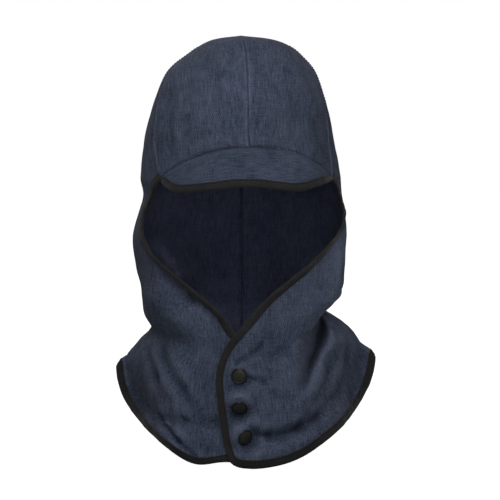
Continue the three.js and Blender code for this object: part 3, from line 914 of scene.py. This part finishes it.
def tape_object(name, rings):
    """A tape through its rings, closed at both ends."""
    stops, ring = rings.shape[:2]
    index = np.arange(stops * ring).reshape(stops, ring)
    after = np.roll(index, -1, axis=1)
    faces = np.stack([index[:-1], after[:-1], after[1:], index[1:]], axis=-1).reshape(-1, 4).tolist()
    faces += [index[0, ::-1].tolist(), index[-1].tolist()]
    obj = add_object(name, rings.reshape(-1, 3), faces)
    face_out(obj.data)
    across = arc_lengths(rings, 1)
    along = arc_lengths(rings[:, :1], 0) + 0 * across
    grain = np.stack([across, along, 0 * along], axis=-1).reshape(-1, 3) * MM
    set_attribute(obj.data, "grain", "FLOAT_VECTOR", grain)
    set_attribute(obj.data, "ridge", "FLOAT", np.zeros(stops * ring))
    smooth_shading(obj.data, SHARP_ANGLE.tape)
    return obj


def panel_path(side):
    """The taped edge of a side panel, from the bill's corner down the front and along the hem to the back,
    with the direction into the cloth at each stop."""
    sheet = panel_sheet(side)
    drops = np.linspace(TAPE_START_DROP, HEM_DROP, EDGE_POINTS)
    front = even_path(sheet, side * panel_front(side, drops), drops, TAPE_STEP)
    corner = side * panel_front(side, np.array([float(HEM_DROP)]))[0]
    angles = np.linspace(corner, side * BACK_ANGLE, EDGE_POINTS)
    hem = even_path(sheet, angles, np.full(EDGE_POINTS, float(HEM_DROP)), TAPE_STEP)
    angle = np.concatenate([front[0], hem[0][1:]])
    drop = np.concatenate([front[1], hem[1][1:]])
    inside = np.zeros((len(angle), 2))
    inside[:len(front[0]), 0] = side
    inside[len(front[0]):, 1] = -1
    return angle, drop, inside


# Stitches: rings along a bead of thread, each with its share of the length and of the thread's radius
STITCH_SIDES = 5
STITCH_RINGS = ((0, 0), (0.12, 0.75), (0.5, 1), (0.88, 0.75), (1, 0))
STITCH_RISE = 1.2
STITCH_TIP = 0.15


def stitch_row(path, normals, length, pitch, radius, sunk):
    """Stitches of thread along a path, each a bead of thread whose ends go down into the cloth."""
    distance = arc_lengths(path, 0)
    starts = np.arange(pitch / 2, distance[-1] - length, pitch)

    def at(where, values):
        return np.stack([np.interp(where, distance, values[:, k]) for k in range(3)], axis=-1)

    out = unit(at(starts + length / 2, normals))
    head = at(starts, path)
    tail = at(starts + length, path)
    beside = unit(np.cross(out, tail - head))
    verts = []
    for share, size in STITCH_RINGS:
        middle = lerp(head, tail, share) + out * (radius * (STITCH_RISE * size - sunk))
        for k in range(STITCH_SIDES):
            turn = 2 * math.pi * k / STITCH_SIDES
            thick = radius * max(size, STITCH_TIP)
            verts.append(middle + (beside * math.cos(turn) + out * math.sin(turn)) * thick)
    return np.stack(verts, axis=1)


def stitch_object(name, rows):
    """All the beads of some rows of stitches as one piece."""
    beads = np.concatenate(rows)
    count, per = beads.shape[:2]
    rings = len(STITCH_RINGS)
    index = np.arange(per).reshape(rings, STITCH_SIDES)
    after = np.roll(index, -1, axis=1)
    bead = np.stack([index[:-1], after[:-1], after[1:], index[1:]], axis=-1).reshape(-1, 4).tolist()
    bead += [index[0, ::-1].tolist(), index[-1].tolist()]
    faces = [[corner + k * per for corner in face] for k in range(count) for face in bead]
    obj = add_object(name, beads.reshape(-1, 3), faces)
    face_out(obj.data)
    smooth_shading(obj.data, SHARP_ANGLE.thread)
    return obj


# Snap outlines: radius and height over the middle of the left panel's cloth
CAP_OUTLINE = [
    (0, 0.64), (5.8, 0.64), (7, 0.7), (7.6, 0.95), (7.85, 1.35), (7.78, 1.75), (7.5, 2.08), (7.05, 2.28),
    (6.6, 2.3), (6.3, 2.16), (6.05, 2.16), (5.7, 2.34), (4.8, 2.58), (3.6, 2.76), (2.2, 2.87), (0, 2.91),
]
SOCKET_OUTLINE = [
    (0, -2.5), (3.2, -2.5), (3.4, -2.65), (4.9, -2.65), (5.3, -2.4), (5.4, -1.9), (5.2, -1.2), (4.6, -0.68),
    (0, -0.68),
]
STUD_OUTLINE = [
    (0, -2.6), (1.4, -2.62), (2, -2.8), (2.1, -3.2), (1.9, -3.5), (2.6, -3.72), (4.2, -3.8), (4.6, -4.1),
    (4.5, -4.5), (0, -4.5),
]
BACK_RING_OUTLINE = [
    (0, -5.9), (4.4, -5.9), (5.2, -6.1), (5.4, -6.6), (5.1, -7.1), (4.4, -7.3), (3.2, -7.15), (2.2, -6.8),
    (0, -6.7),
]

# Radii where a cap's rim begins and is full, and how far across and down the cloth gives a snap its axis
CAP_RIM = (5.6, 6.6)
SNAP_STEPS = (2.2, 4.5)


def turned_solid(outline, sides):
    """A closed solid turned about the upright axis from an outline that starts and ends on the axis."""
    verts = [(0, 0, outline[0][1])]
    faces = []
    for radius, height in outline[1:-1]:
        for k in range(sides):
            turn = 2 * math.pi * k / sides
            verts.append((radius * math.cos(turn), radius * math.sin(turn), height))
    verts.append((0, 0, outline[-1][1]))
    bands = len(outline) - 2
    for k in range(sides):
        follow = (k + 1) % sides
        faces.append([0, 1 + follow, 1 + k])
        for band in range(bands - 1):
            low = 1 + band * sides
            high = low + sides
            faces.append([low + k, low + follow, high + follow, high + k])
        top = 1 + (bands - 1) * sides
        faces.append([len(verts) - 1, top + k, top + follow])
    return np.array(verts, float), faces


def snap_object(name, outlines, place, axis):
    """The turned parts of one half of a snap, set on the cloth along an axis."""
    all_verts = []
    all_faces = []
    for outline in outlines:
        verts, faces = turned_solid(outline, SNAP_SIDES)
        all_faces += [[corner + sum(map(len, all_verts)) for corner in face] for face in faces]
        all_verts.append(verts)
    verts = np.concatenate(all_verts)
    turn = np.array(Vector(axis).to_track_quat("Z", "Y").to_matrix())
    obj = add_object(name, verts @ turn.T + place, all_faces)
    set_attribute(obj.data, "rim", "FLOAT", smoothstep(np.hypot(verts[:, 0], verts[:, 1]), *CAP_RIM))
    face_out(obj.data)
    smooth_shading(obj.data, SHARP_ANGLE.snap)
    return obj


# Materials

FLOAT = "NodeSocketFloat"
VECTOR = "NodeSocketVector"


def new_group(name, inputs, outputs):
    """An empty shader node group with named sockets, and its input and output nodes."""
    tree = bpy.data.node_groups.new(name, "ShaderNodeTree")
    for socket, kind, value in inputs:
        made = tree.interface.new_socket(name=socket, in_out="INPUT", socket_type=kind)
        if value is not None:
            made.default_value = value
    for socket, kind in outputs:
        tree.interface.new_socket(name=socket, in_out="OUTPUT", socket_type=kind)
    return tree, tree.nodes.new("NodeGroupInput"), tree.nodes.new("NodeGroupOutput")


def feed(tree, socket, value):
    """Links a socket to a node's output, or sets it to a plain value."""
    if isinstance(value, bpy.types.NodeSocket):
        tree.links.new(value, socket)
    else:
        socket.default_value = value


def maths(tree, operation, first, second=None, third=None, clamp=False):
    node = tree.nodes.new("ShaderNodeMath")
    node.operation = operation
    node.use_clamp = clamp
    for socket, value in zip(node.inputs, (first, second, third)):
        if value is not None:
            feed(tree, socket, value)
    return node.outputs[0]


def noise_tone(tree, place, detail, roughness=0.5):
    node = tree.nodes.new("ShaderNodeTexNoise")
    node.inputs["Scale"].default_value = 1.0
    node.inputs["Detail"].default_value = detail
    node.inputs["Roughness"].default_value = roughness
    tree.links.new(place, node.inputs["Vector"])
    return node.outputs["Fac"]


def scaled_place(tree, place, across, along):
    """A place with its two directions divided by their own sizes."""
    apart = tree.nodes.new("ShaderNodeSeparateXYZ")
    tree.links.new(place, apart.inputs[0])
    joined = tree.nodes.new("ShaderNodeCombineXYZ")
    tree.links.new(maths(tree, "DIVIDE", apart.outputs[0], across), joined.inputs[0])
    tree.links.new(maths(tree, "DIVIDE", apart.outputs[1], along), joined.inputs[1])
    fine = maths(tree, "MINIMUM", across, along)
    tree.links.new(maths(tree, "DIVIDE", apart.outputs[2], fine), joined.inputs[2])
    return joined.outputs[0]


def twill_group():
    """Diagonal rib of a twill and the single yarns across it."""
    tree, given, made = new_group(
        "twill_weave",
        [("Grain", VECTOR, None), ("Yarn", FLOAT, 0.0005), ("Slant", FLOAT, 1.0)],
        [("Rib", FLOAT), ("Height", FLOAT)],
    )
    apart = tree.nodes.new("ShaderNodeSeparateXYZ")
    tree.links.new(given.outputs["Grain"], apart.inputs[0])
    across = maths(tree, "DIVIDE", apart.outputs[0], given.outputs["Yarn"])
    along = maths(tree, "DIVIDE", apart.outputs[1], given.outputs["Yarn"])
    slanted = maths(tree, "MULTIPLY_ADD", along, given.outputs["Slant"], across)
    rib = maths(tree, "SINE", maths(tree, "MULTIPLY", slanted, math.pi))
    yarn = maths(tree, "SINE", maths(tree, "MULTIPLY", across, 2 * math.pi))
    rib = maths(tree, "MULTIPLY_ADD", rib, 0.5, 0.5)
    tree.links.new(rib, made.inputs["Rib"])
    tree.links.new(maths(tree, "MULTIPLY_ADD", yarn, 0.25, rib), made.inputs["Height"])
    return tree


def slub_group():
    """Thick and thin places of the yarns, drawn out along them."""
    tree, given, made = new_group(
        "yarn_slubs",
        [("Grain", VECTOR, None), ("Width", FLOAT, 0.001), ("Length", FLOAT, 0.01)],
        [("Tone", FLOAT)],
    )
    place = scaled_place(tree, given.outputs["Grain"], given.outputs["Width"], given.outputs["Length"])
    tree.links.new(noise_tone(tree, place, 2.0), made.inputs["Tone"])
    return tree


def fade_group():
    """Broad fading of a surface, stronger on its ridges."""
    tree, given, made = new_group(
        "worn_fade",
        [("Place", VECTOR, None), ("Size", FLOAT, 0.04), ("Ridge", FLOAT, 0.0)],
        [("Fade", FLOAT)],
    )
    place = tree.nodes.new("ShaderNodeVectorMath")
    place.operation = "DIVIDE"
    joined = tree.nodes.new("ShaderNodeCombineXYZ")
    for socket in joined.inputs:
        tree.links.new(given.outputs["Size"], socket)
    tree.links.new(given.outputs["Place"], place.inputs[0])
    tree.links.new(joined.outputs[0], place.inputs[1])
    broad = noise_tone(tree, place.outputs[0], 3.0, 0.55)
    fade = maths(tree, "ADD", broad, given.outputs["Ridge"], clamp=True)
    tree.links.new(fade, made.inputs["Fade"])
    return tree


TWILL = twill_group()
SLUBS = slub_group()
FADE = fade_group()


def place_group(tree, group, **values):
    """Places a group in a material, with its own values."""
    node = tree.nodes.new("ShaderNodeGroup")
    node.node_tree = group
    for name, value in values.items():
        feed(tree, node.inputs[name], value)
    return node


def attribute(tree, name, output):
    node = tree.nodes.new("ShaderNodeAttribute")
    node.attribute_name = name
    return node.outputs[output]


MIX_COLOURS_IN = (6, 7)
MIX_COLOUR_OUT = 2


def mixed_colour(tree, share, first, second):
    node = tree.nodes.new("ShaderNodeMix")
    node.data_type = "RGBA"
    feed(tree, node.inputs["Factor"], share)
    for socket, colour in zip(MIX_COLOURS_IN, (first, second)):
        linked = isinstance(colour, bpy.types.NodeSocket)
        feed(tree, node.inputs[socket], colour if linked else (*colour, 1))
    return node.outputs[MIX_COLOUR_OUT]


def new_material(name, **shader_values):
    """A material with a Principled shader, whose even values are set on the shader itself."""
    material = bpy.data.materials.new(name)
    material.use_nodes = True
    shader = material.node_tree.nodes["Principled BSDF"]
    for socket, value in shader_values.items():
        shader.inputs[socket.replace("_", " ")].default_value = value
    return material, material.node_tree, shader


def bumped(tree, shader, height, strength, depth):
    bump = tree.nodes.new("ShaderNodeBump")
    bump.inputs["Strength"].default_value = strength
    bump.inputs["Distance"].default_value = depth
    tree.links.new(height, bump.inputs["Height"])
    tree.links.new(bump.outputs["Normal"], shader.inputs["Normal"])


def span(tree, value, low, high):
    """A share from 0 to 1 as a value from low to high."""
    return maths(tree, "MULTIPLY_ADD", value, high - low, low)


def swung(tree, tone, strength, base, clamp=False):
    """A base with a tone's swing about its middle added."""
    return maths(tree, "MULTIPLY_ADD", maths(tree, "SUBTRACT", tone, 0.5), strength, base, clamp)


# How much more of the pale weft shows with each tone of the cloth, and how the dye turns from place to place
WEFT_SWING = SimpleNamespace(warp_slubs=0.8, heather=0.45, weft_slubs=0.45, fade=0.5, rib=0.14)
DYE_TURN = (0.84, 1.06, 0.96)
DYE_SWING = 3
SLUB_HEIGHT = 0.7


def denim_material(name, warp, weft, weft_share, contrast):
    """Twill denim: dark warp yarns with the pale weft showing between them, slubbed and faded."""
    material, tree, shader = new_material(
        name, Specular_IOR_Level=0.12, Sheen_Weight=0.03, Sheen_Roughness=0.6
    )
    grain = attribute(tree, "grain", "Vector")
    twill = place_group(tree, TWILL, Grain=grain, Yarn=0.0011, Slant=0.5)
    warp_slubs = place_group(tree, SLUBS, Grain=grain, Width=0.001, Length=0.013)
    heather = place_group(tree, SLUBS, Grain=grain, Width=0.001, Length=0.0015)
    weft_slubs = place_group(tree, SLUBS, Grain=grain, Width=0.011, Length=0.001)
    ridge = maths(tree, "MULTIPLY", attribute(tree, "ridge", "Fac"), 1.5)
    fade = place_group(tree, FADE, Place=grain, Size=0.045, Ridge=ridge)
    share = swung(tree, warp_slubs.outputs["Tone"], WEFT_SWING.warp_slubs * contrast, weft_share)
    share = swung(tree, heather.outputs["Tone"], WEFT_SWING.heather * contrast, share)
    share = swung(tree, weft_slubs.outputs["Tone"], WEFT_SWING.weft_slubs * contrast, share)
    share = swung(tree, fade.outputs["Fade"], WEFT_SWING.fade * contrast, share)
    share = swung(tree, twill.outputs["Rib"], WEFT_SWING.rib * contrast, share, clamp=True)
    dye = place_group(tree, FADE, Place=grain, Size=0.07, Ridge=0.0)
    shade = swung(tree, dye.outputs["Fade"], DYE_SWING, 0.5, clamp=True)
    dyed = mixed_colour(tree, shade, warp, tuple(part * turn for part, turn in zip(warp, DYE_TURN)))
    tree.links.new(mixed_colour(tree, share, dyed, weft), shader.inputs["Base Color"])
    tree.links.new(span(tree, warp_slubs.outputs["Tone"], 0.98, 0.8), shader.inputs["Roughness"])
    height = maths(tree, "MULTIPLY_ADD", warp_slubs.outputs["Tone"], SLUB_HEIGHT, twill.outputs["Height"])
    bumped(tree, shader, height, 0.5, 0.00022)
    return material


TAPE_BLACK = (0.01, 0.0096, 0.0098)
TAPE_BROWN = (0.034, 0.0315, 0.0315)


def tape_material():
    """Black binding tape: a fine ribbed weave, a little brown where it is handled."""
    material, tree, shader = new_material(
        "binding_tape", Specular_IOR_Level=0.25, Sheen_Weight=0.1, Sheen_Roughness=0.5
    )
    grain = attribute(tree, "grain", "Vector")
    rib = place_group(tree, TWILL, Grain=grain, Yarn=0.0006, Slant=0.35)
    slubs = place_group(tree, SLUBS, Grain=grain, Width=0.0012, Length=0.004)
    fade = place_group(tree, FADE, Place=grain, Size=0.03, Ridge=0.0)
    share = maths(tree, "MULTIPLY", slubs.outputs["Tone"], fade.outputs["Fade"], clamp=True)
    colour = mixed_colour(tree, share, TAPE_BLACK, TAPE_BROWN)
    tree.links.new(colour, shader.inputs["Base Color"])
    tree.links.new(span(tree, slubs.outputs["Tone"], 0.92, 0.7), shader.inputs["Roughness"])
    bumped(tree, shader, rib.outputs["Height"], 0.5, 0.0002)
    return material


def thread_material(name, dark, light):
    """Sewing thread, twisted and a little uneven."""
    material, tree, shader = new_material(name, Specular_IOR_Level=0.1)
    place = tree.nodes.new("ShaderNodeTexCoord").outputs["Object"]
    fade = place_group(tree, FADE, Place=place, Size=0.0025, Ridge=0.0)
    tree.links.new(mixed_colour(tree, fade.outputs["Fade"], dark, light), shader.inputs["Base Color"])
    tree.links.new(span(tree, fade.outputs["Fade"], 0.85, 0.6), shader.inputs["Roughness"])
    bumped(tree, shader, fade.outputs["Fade"], 0.3, 0.0001)
    return material


ENAMEL_BLACK = (0.006, 0.006, 0.005)
ENAMEL_BROWN = (0.026, 0.026, 0.0145)
# Painted shade: the colour of a cap's rim, darker than its face.
ENAMEL_RIM_SHADE = (0.0035, 0.003, 0.003)
RIM_GLOSS = 0.22


def snap_material():
    """Black enamel on the snaps, rubbed a little brown and dull, with painted shade that darkens the rim."""
    material, tree, shader = new_material("snap_enamel", Specular_IOR_Level=0.5)
    place = tree.nodes.new("ShaderNodeTexCoord").outputs["Object"]
    scuffs = place_group(tree, FADE, Place=place, Size=0.002, Ridge=0.0)
    rim = attribute(tree, "rim", "Fac")
    face = mixed_colour(tree, scuffs.outputs["Fade"], ENAMEL_BLACK, ENAMEL_BROWN)
    # The rim mask darkens the rim with painted shade and makes it glossier.
    tree.links.new(mixed_colour(tree, rim, face, ENAMEL_RIM_SHADE), shader.inputs["Base Color"])
    rough = span(tree, scuffs.outputs["Fade"], 0.3, 0.55)
    tree.links.new(maths(tree, "MULTIPLY_ADD", rim, -RIM_GLOSS, rough), shader.inputs["Roughness"])
    bumped(tree, shader, scuffs.outputs["Fade"], 0.25, 0.0003)
    return material


FLOOR_DARK = (0.34, 0.34, 0.34)
FLOOR_LIGHT = (0.36, 0.36, 0.36)


def floor_material():
    """A matt studio floor that shows white."""
    material, tree, shader = new_material("pale_floor", Specular_IOR_Level=0.1, Emission_Color=(1, 1, 1, 1))
    seen = tree.nodes.new("ShaderNodeLightPath").outputs["Is Camera Ray"]
    tree.links.new(seen, shader.inputs["Emission Strength"])
    place = tree.nodes.new("ShaderNodeTexCoord").outputs["Object"]
    fade = place_group(tree, FADE, Place=place, Size=0.5, Ridge=0.0)
    colour = mixed_colour(tree, fade.outputs["Fade"], FLOOR_DARK, FLOOR_LIGHT)
    tree.links.new(colour, shader.inputs["Base Color"])
    tree.links.new(span(tree, fade.outputs["Fade"], 0.85, 0.95), shader.inputs["Roughness"])
    return material


DENIM = denim_material(
    "denim", warp=(0.027, 0.033, 0.06), weft=(0.15, 0.175, 0.26), weft_share=0.22, contrast=1.1
)
DENIM_INSIDE = denim_material(
    "denim_inside", warp=(0.05, 0.058, 0.116), weft=(0.275, 0.31, 0.465), weft_share=0.25, contrast=0.8
)
DENIM_BILL = denim_material(
    "denim_cross_cut", warp=(0.025, 0.031, 0.056), weft=(0.14, 0.163, 0.245), weft_share=0.19, contrast=1
)
TAPE = tape_material()
SEAM_THREAD = thread_material("seam_thread", dark=(0.024, 0.029, 0.042), light=(0.05, 0.058, 0.08))
TAPE_THREAD = thread_material("tape_thread", dark=(0.008, 0.008, 0.008), light=(0.025, 0.023, 0.022))
SNAP = snap_material()


def finish_piece(obj, slot, nodes, *materials):
    """Gives a piece its materials and ties it to the frame."""
    for material in materials:
        obj.data.materials.append(material)
    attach(obj, "root")
    if nodes:
        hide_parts(*nodes)
    return obj


# Pieces

panels = {}
crowns = {}
for word, side in SIDES.items():
    grid = panel_grid(side)
    points = panel_sheet(side)(*grid)
    grain = panel_grain(side, *grid, points)
    start = side * GRAIN_START.panel
    panels[word] = cloth_object(f"denim_panel_{word}", points, grain, CLOTH_WALL, side, start)
    finish_piece(panels[word], "denim", [f"panel_{word}"], DENIM, DENIM_INSIDE)
    grid = crown_grid(side)
    points = crown_sheet(side)(*grid)
    grain = crown_grain(side, *grid, points)
    start = side * GRAIN_START.crown
    crowns[word] = cloth_object(f"denim_crown_{word}", points, grain, CLOTH_WALL, side, start)
    finish_piece(crowns[word], "denim", [f"crown_{word}"], DENIM, DENIM_INSIDE)

across = np.linspace(-BILL_END, BILL_END, BILL_COLUMNS)[None, :]
down = np.linspace(0, 1, BILL_ROWS)[:, None]
points = bill_sheet(across, down)
grain = bill_grain(across, down)
bill = cloth_object("denim_bill", points, grain, BILL_WALL, facing=1, offset=GRAIN_START.bill)
finish_piece(bill, "denim", ["bill"], DENIM_BILL, DENIM_BILL)

# The bill's tape narrows towards the corners, where the bill runs out. Steps are for slopes, across and down.
BILL_EDGE_POINTS = 600
BILL_STEPS = (0.008, 0.03)
BILL_TAPE_ROOM = 9.5
BILL_TAPE_LEAST = 0.25
across = np.linspace(-BILL_END, BILL_END, BILL_EDGE_POINTS)
across, down = even_path(bill_sheet, across, np.ones(BILL_EDGE_POINTS), TAPE_STEP)
inside = np.zeros((len(across), 2))
inside[:, 1] = -1
room = np.linalg.norm(bill_form(across, 0) - bill_form(across, 1), axis=-1) / BILL_TAPE_ROOM
room = np.clip(room, BILL_TAPE_LEAST, 1)
slack = (BILL_WALL - CLOTH_WALL) / 2
rings, bill_sewing = tape_rings(bill_sheet, bill_form, across, down, inside, BILL_STEPS, slack, room)
bill_tape = finish_piece(tape_object("tape_on_bill", rings), "tape", ["bill_tape"], TAPE)

PANEL_STEPS = (0.5, 0.9)
edge_rings = {}
edge_sewing = {}
for word, side in SIDES.items():
    angle, drop, inside = panel_path(side)
    flare = FACE_FLARES[side]
    room = 1 - HEM_TUCK.narrow * hem_tuck(angle) * smoothstep(drop, *HEM_TUCK.drops)
    room = room - flare.narrow * swell(drop, *flare.drops)
    made = tape_rings(panel_sheet(side), form, angle, drop, inside, PANEL_STEPS, 0, room)
    edge_rings[word], edge_sewing[word] = made
rings = np.concatenate([edge_rings["right"][:-1], edge_rings["left"][::-1]])
edge_tape = finish_piece(tape_object("tape_on_edge", rings), "tape", ["edge_tape"], TAPE)

TAPE_STITCH = {"length": 2.3, "pitch": 3, "radius": 0.24, "sunk": 0.3}
tape_sewing = [*bill_sewing, *edge_sewing["left"], *edge_sewing["right"]]
rows = [stitch_row(*sewing, **TAPE_STITCH) for sewing in tape_sewing]
tape_stitches = finish_piece(stitch_object("tape_stitches", rows), "tape", [], TAPE_THREAD)

# Topstitching: two rows on the felled bands of the side seams and the back seam, and one above the bill's
# seam
SEAM_STITCH = {"length": 2.5, "pitch": 3.2, "radius": 0.27, "sunk": 0.4}
SEAM_STEP = 1.5
SEAM_SLOPE_STEP = 0.3
SEAM_POINTS = 500
SEAM_DROPS = (10, CORNER_DROP - 3)
BACK_SEAM_DROPS = (10, HEM_DROP - 9)
BILL_SEAM_POINTS = 400
BILL_SEAM_ANGLES = (1.5, CORNER_ANGLE - 1.5)
BILL_SEAM_INSET = 2.6


def seam_row(sheet, angle, drop):
    """A row of seam stitches along a line on a sheet."""
    angle, drop = even_path(sheet, angle, drop, SEAM_STEP)
    along_first, along_second = slopes_of(sheet, angle, drop, SEAM_SLOPE_STEP, SEAM_SLOPE_STEP)
    out = unit(np.cross(along_second, along_first))
    return stitch_row(sheet(angle, drop) + out * CLOTH_WALL / 2, out, **SEAM_STITCH)


rows = []
seam_drops = np.linspace(*SEAM_DROPS, SEAM_POINTS)
seam_angles = side_seam_angle(seam_drops)
back_drops = np.linspace(*BACK_SEAM_DROPS, EDGE_POINTS)
for side in SIDES.values():
    sheet = panel_sheet(side)
    for inset in FELL_STITCHES:
        scale = girth_per_degree(form(side * seam_angles, seam_drops))
        rows.append(seam_row(sheet, side * (seam_angles + inset / scale), seam_drops))
        if side == LEFT:
            scale = girth_per_degree(form(BACK_ANGLE, back_drops))
            rows.append(seam_row(sheet, BACK_ANGLE - inset / scale, back_drops))
    angles = side * np.linspace(*BILL_SEAM_ANGLES, BILL_SEAM_POINTS)
    rows.append(seam_row(crown_sheet(side), angles, bill_seam_drop(angles) - BILL_SEAM_INSET))
seam_stitches = finish_piece(stitch_object("seam_stitches", rows), "denim", [], SEAM_THREAD)

left_sheet = panel_sheet(LEFT)
for snap in SNAPS:
    here = (np.array([snap.angle]), np.array([float(snap.drop)]))
    along_first, along_second = slopes_of(left_sheet, *here, *SNAP_STEPS)
    axis = unit(np.cross(along_second, along_first))[0]
    place = left_sheet(*here)[0]
    cap = snap_object(f"snap_{snap.name}_cap", [CAP_OUTLINE, SOCKET_OUTLINE], place, axis)
    stud = snap_object(f"snap_{snap.name}_stud", [STUD_OUTLINE, BACK_RING_OUTLINE], place, axis)
    finish_piece(cap, "snap", [f"snap_cap_{snap.name}"], SNAP)
    finish_piece(stud, "snap", [f"snap_stud_{snap.name}"], SNAP)

# Studio

FLOOR_DROP = 414
FLOOR_RADIUS = 6000
FLOOR_SIDES = 96
turns = [2 * math.pi * k / FLOOR_SIDES for k in range(FLOOR_SIDES)]
rim = [(FLOOR_RADIUS * math.cos(turn), FLOOR_RADIUS * math.sin(turn), -FLOOR_DROP) for turn in turns]
floor = add_object("floor", rim, [list(range(FLOOR_SIDES))])
floor.data.materials.append(floor_material())

CAMERA_TARGET = Vector((9, 0, -213)) * MM
CAMERA_DISTANCE = 2200 * MM
CAMERA_ELEVATION = 4
CAMERA_CLIP = (50 * MM, 60000 * MM)
VIEW_WIDTH = 500 * MM
SENSOR = 36

# Lamps: places and sizes in metres, the spread of the beam in degrees
LAMPS = table(
    ("name", "place", "aim", "size", "spread", "watts"),
    [
        ("key", (-0.04, -0.65, 0.42), (0, 0, -0.09), 0.6, 180, 4),
        ("front", (-0.05, -2.3, -0.21), (0, 0, -0.22), 0.6, 180, 4.4),
        ("bounce", (0.8, -0.75, -0.36), (0, 0, -0.22), 0.7, 180, 1),
        ("side", (1.25, -0.8, 0.25), (0.09, -0.05, -0.236), 0.08, 7, 0.011),
        ("back", (-0.4, 1.9, 0.8), (0, 0, -0.2), 1.4, 180, 7),
    ],
)


def aim(obj, place, target):
    """Puts a lamp or the camera in its place, looking at a target."""
    obj.location = place
    obj.rotation_euler = (target - Vector(place)).to_track_quat("-Z", "Y").to_euler()
    bpy.context.scene.collection.objects.link(obj)


for lamp in LAMPS:
    light = bpy.data.lights.new(lamp.name, "AREA")
    light.size = lamp.size
    light.spread = math.radians(lamp.spread)
    light.energy = lamp.watts
    aim(bpy.data.objects.new(f"lamp_{lamp.name}", light), lamp.place, Vector(lamp.aim))

camera = bpy.data.cameras.new("camera")
camera.sensor_width = SENSOR
camera.lens = SENSOR * CAMERA_DISTANCE / VIEW_WIDTH
camera.clip_start, camera.clip_end = CAMERA_CLIP
rise = math.radians(CAMERA_ELEVATION)
back = Vector((0, -math.cos(rise), math.sin(rise)))
camera_object = bpy.data.objects.new("camera", camera)
aim(camera_object, CAMERA_TARGET + back * CAMERA_DISTANCE, CAMERA_TARGET)

scene = bpy.context.scene
scene.camera = camera_object
scene.view_settings.view_transform = "Standard"

AMBIENT = 0.18
world = bpy.data.worlds.new("studio")
world.use_nodes = True
tree = world.node_tree
surround = tree.nodes["Background"]
surround.inputs["Color"].default_value = (1, 1, 1, 1)
seen = tree.nodes.new("ShaderNodeLightPath").outputs["Is Camera Ray"]
tree.links.new(maths(tree, "MULTIPLY_ADD", seen, 1 - AMBIENT, AMBIENT), surround.inputs["Strength"])
scene.world = world
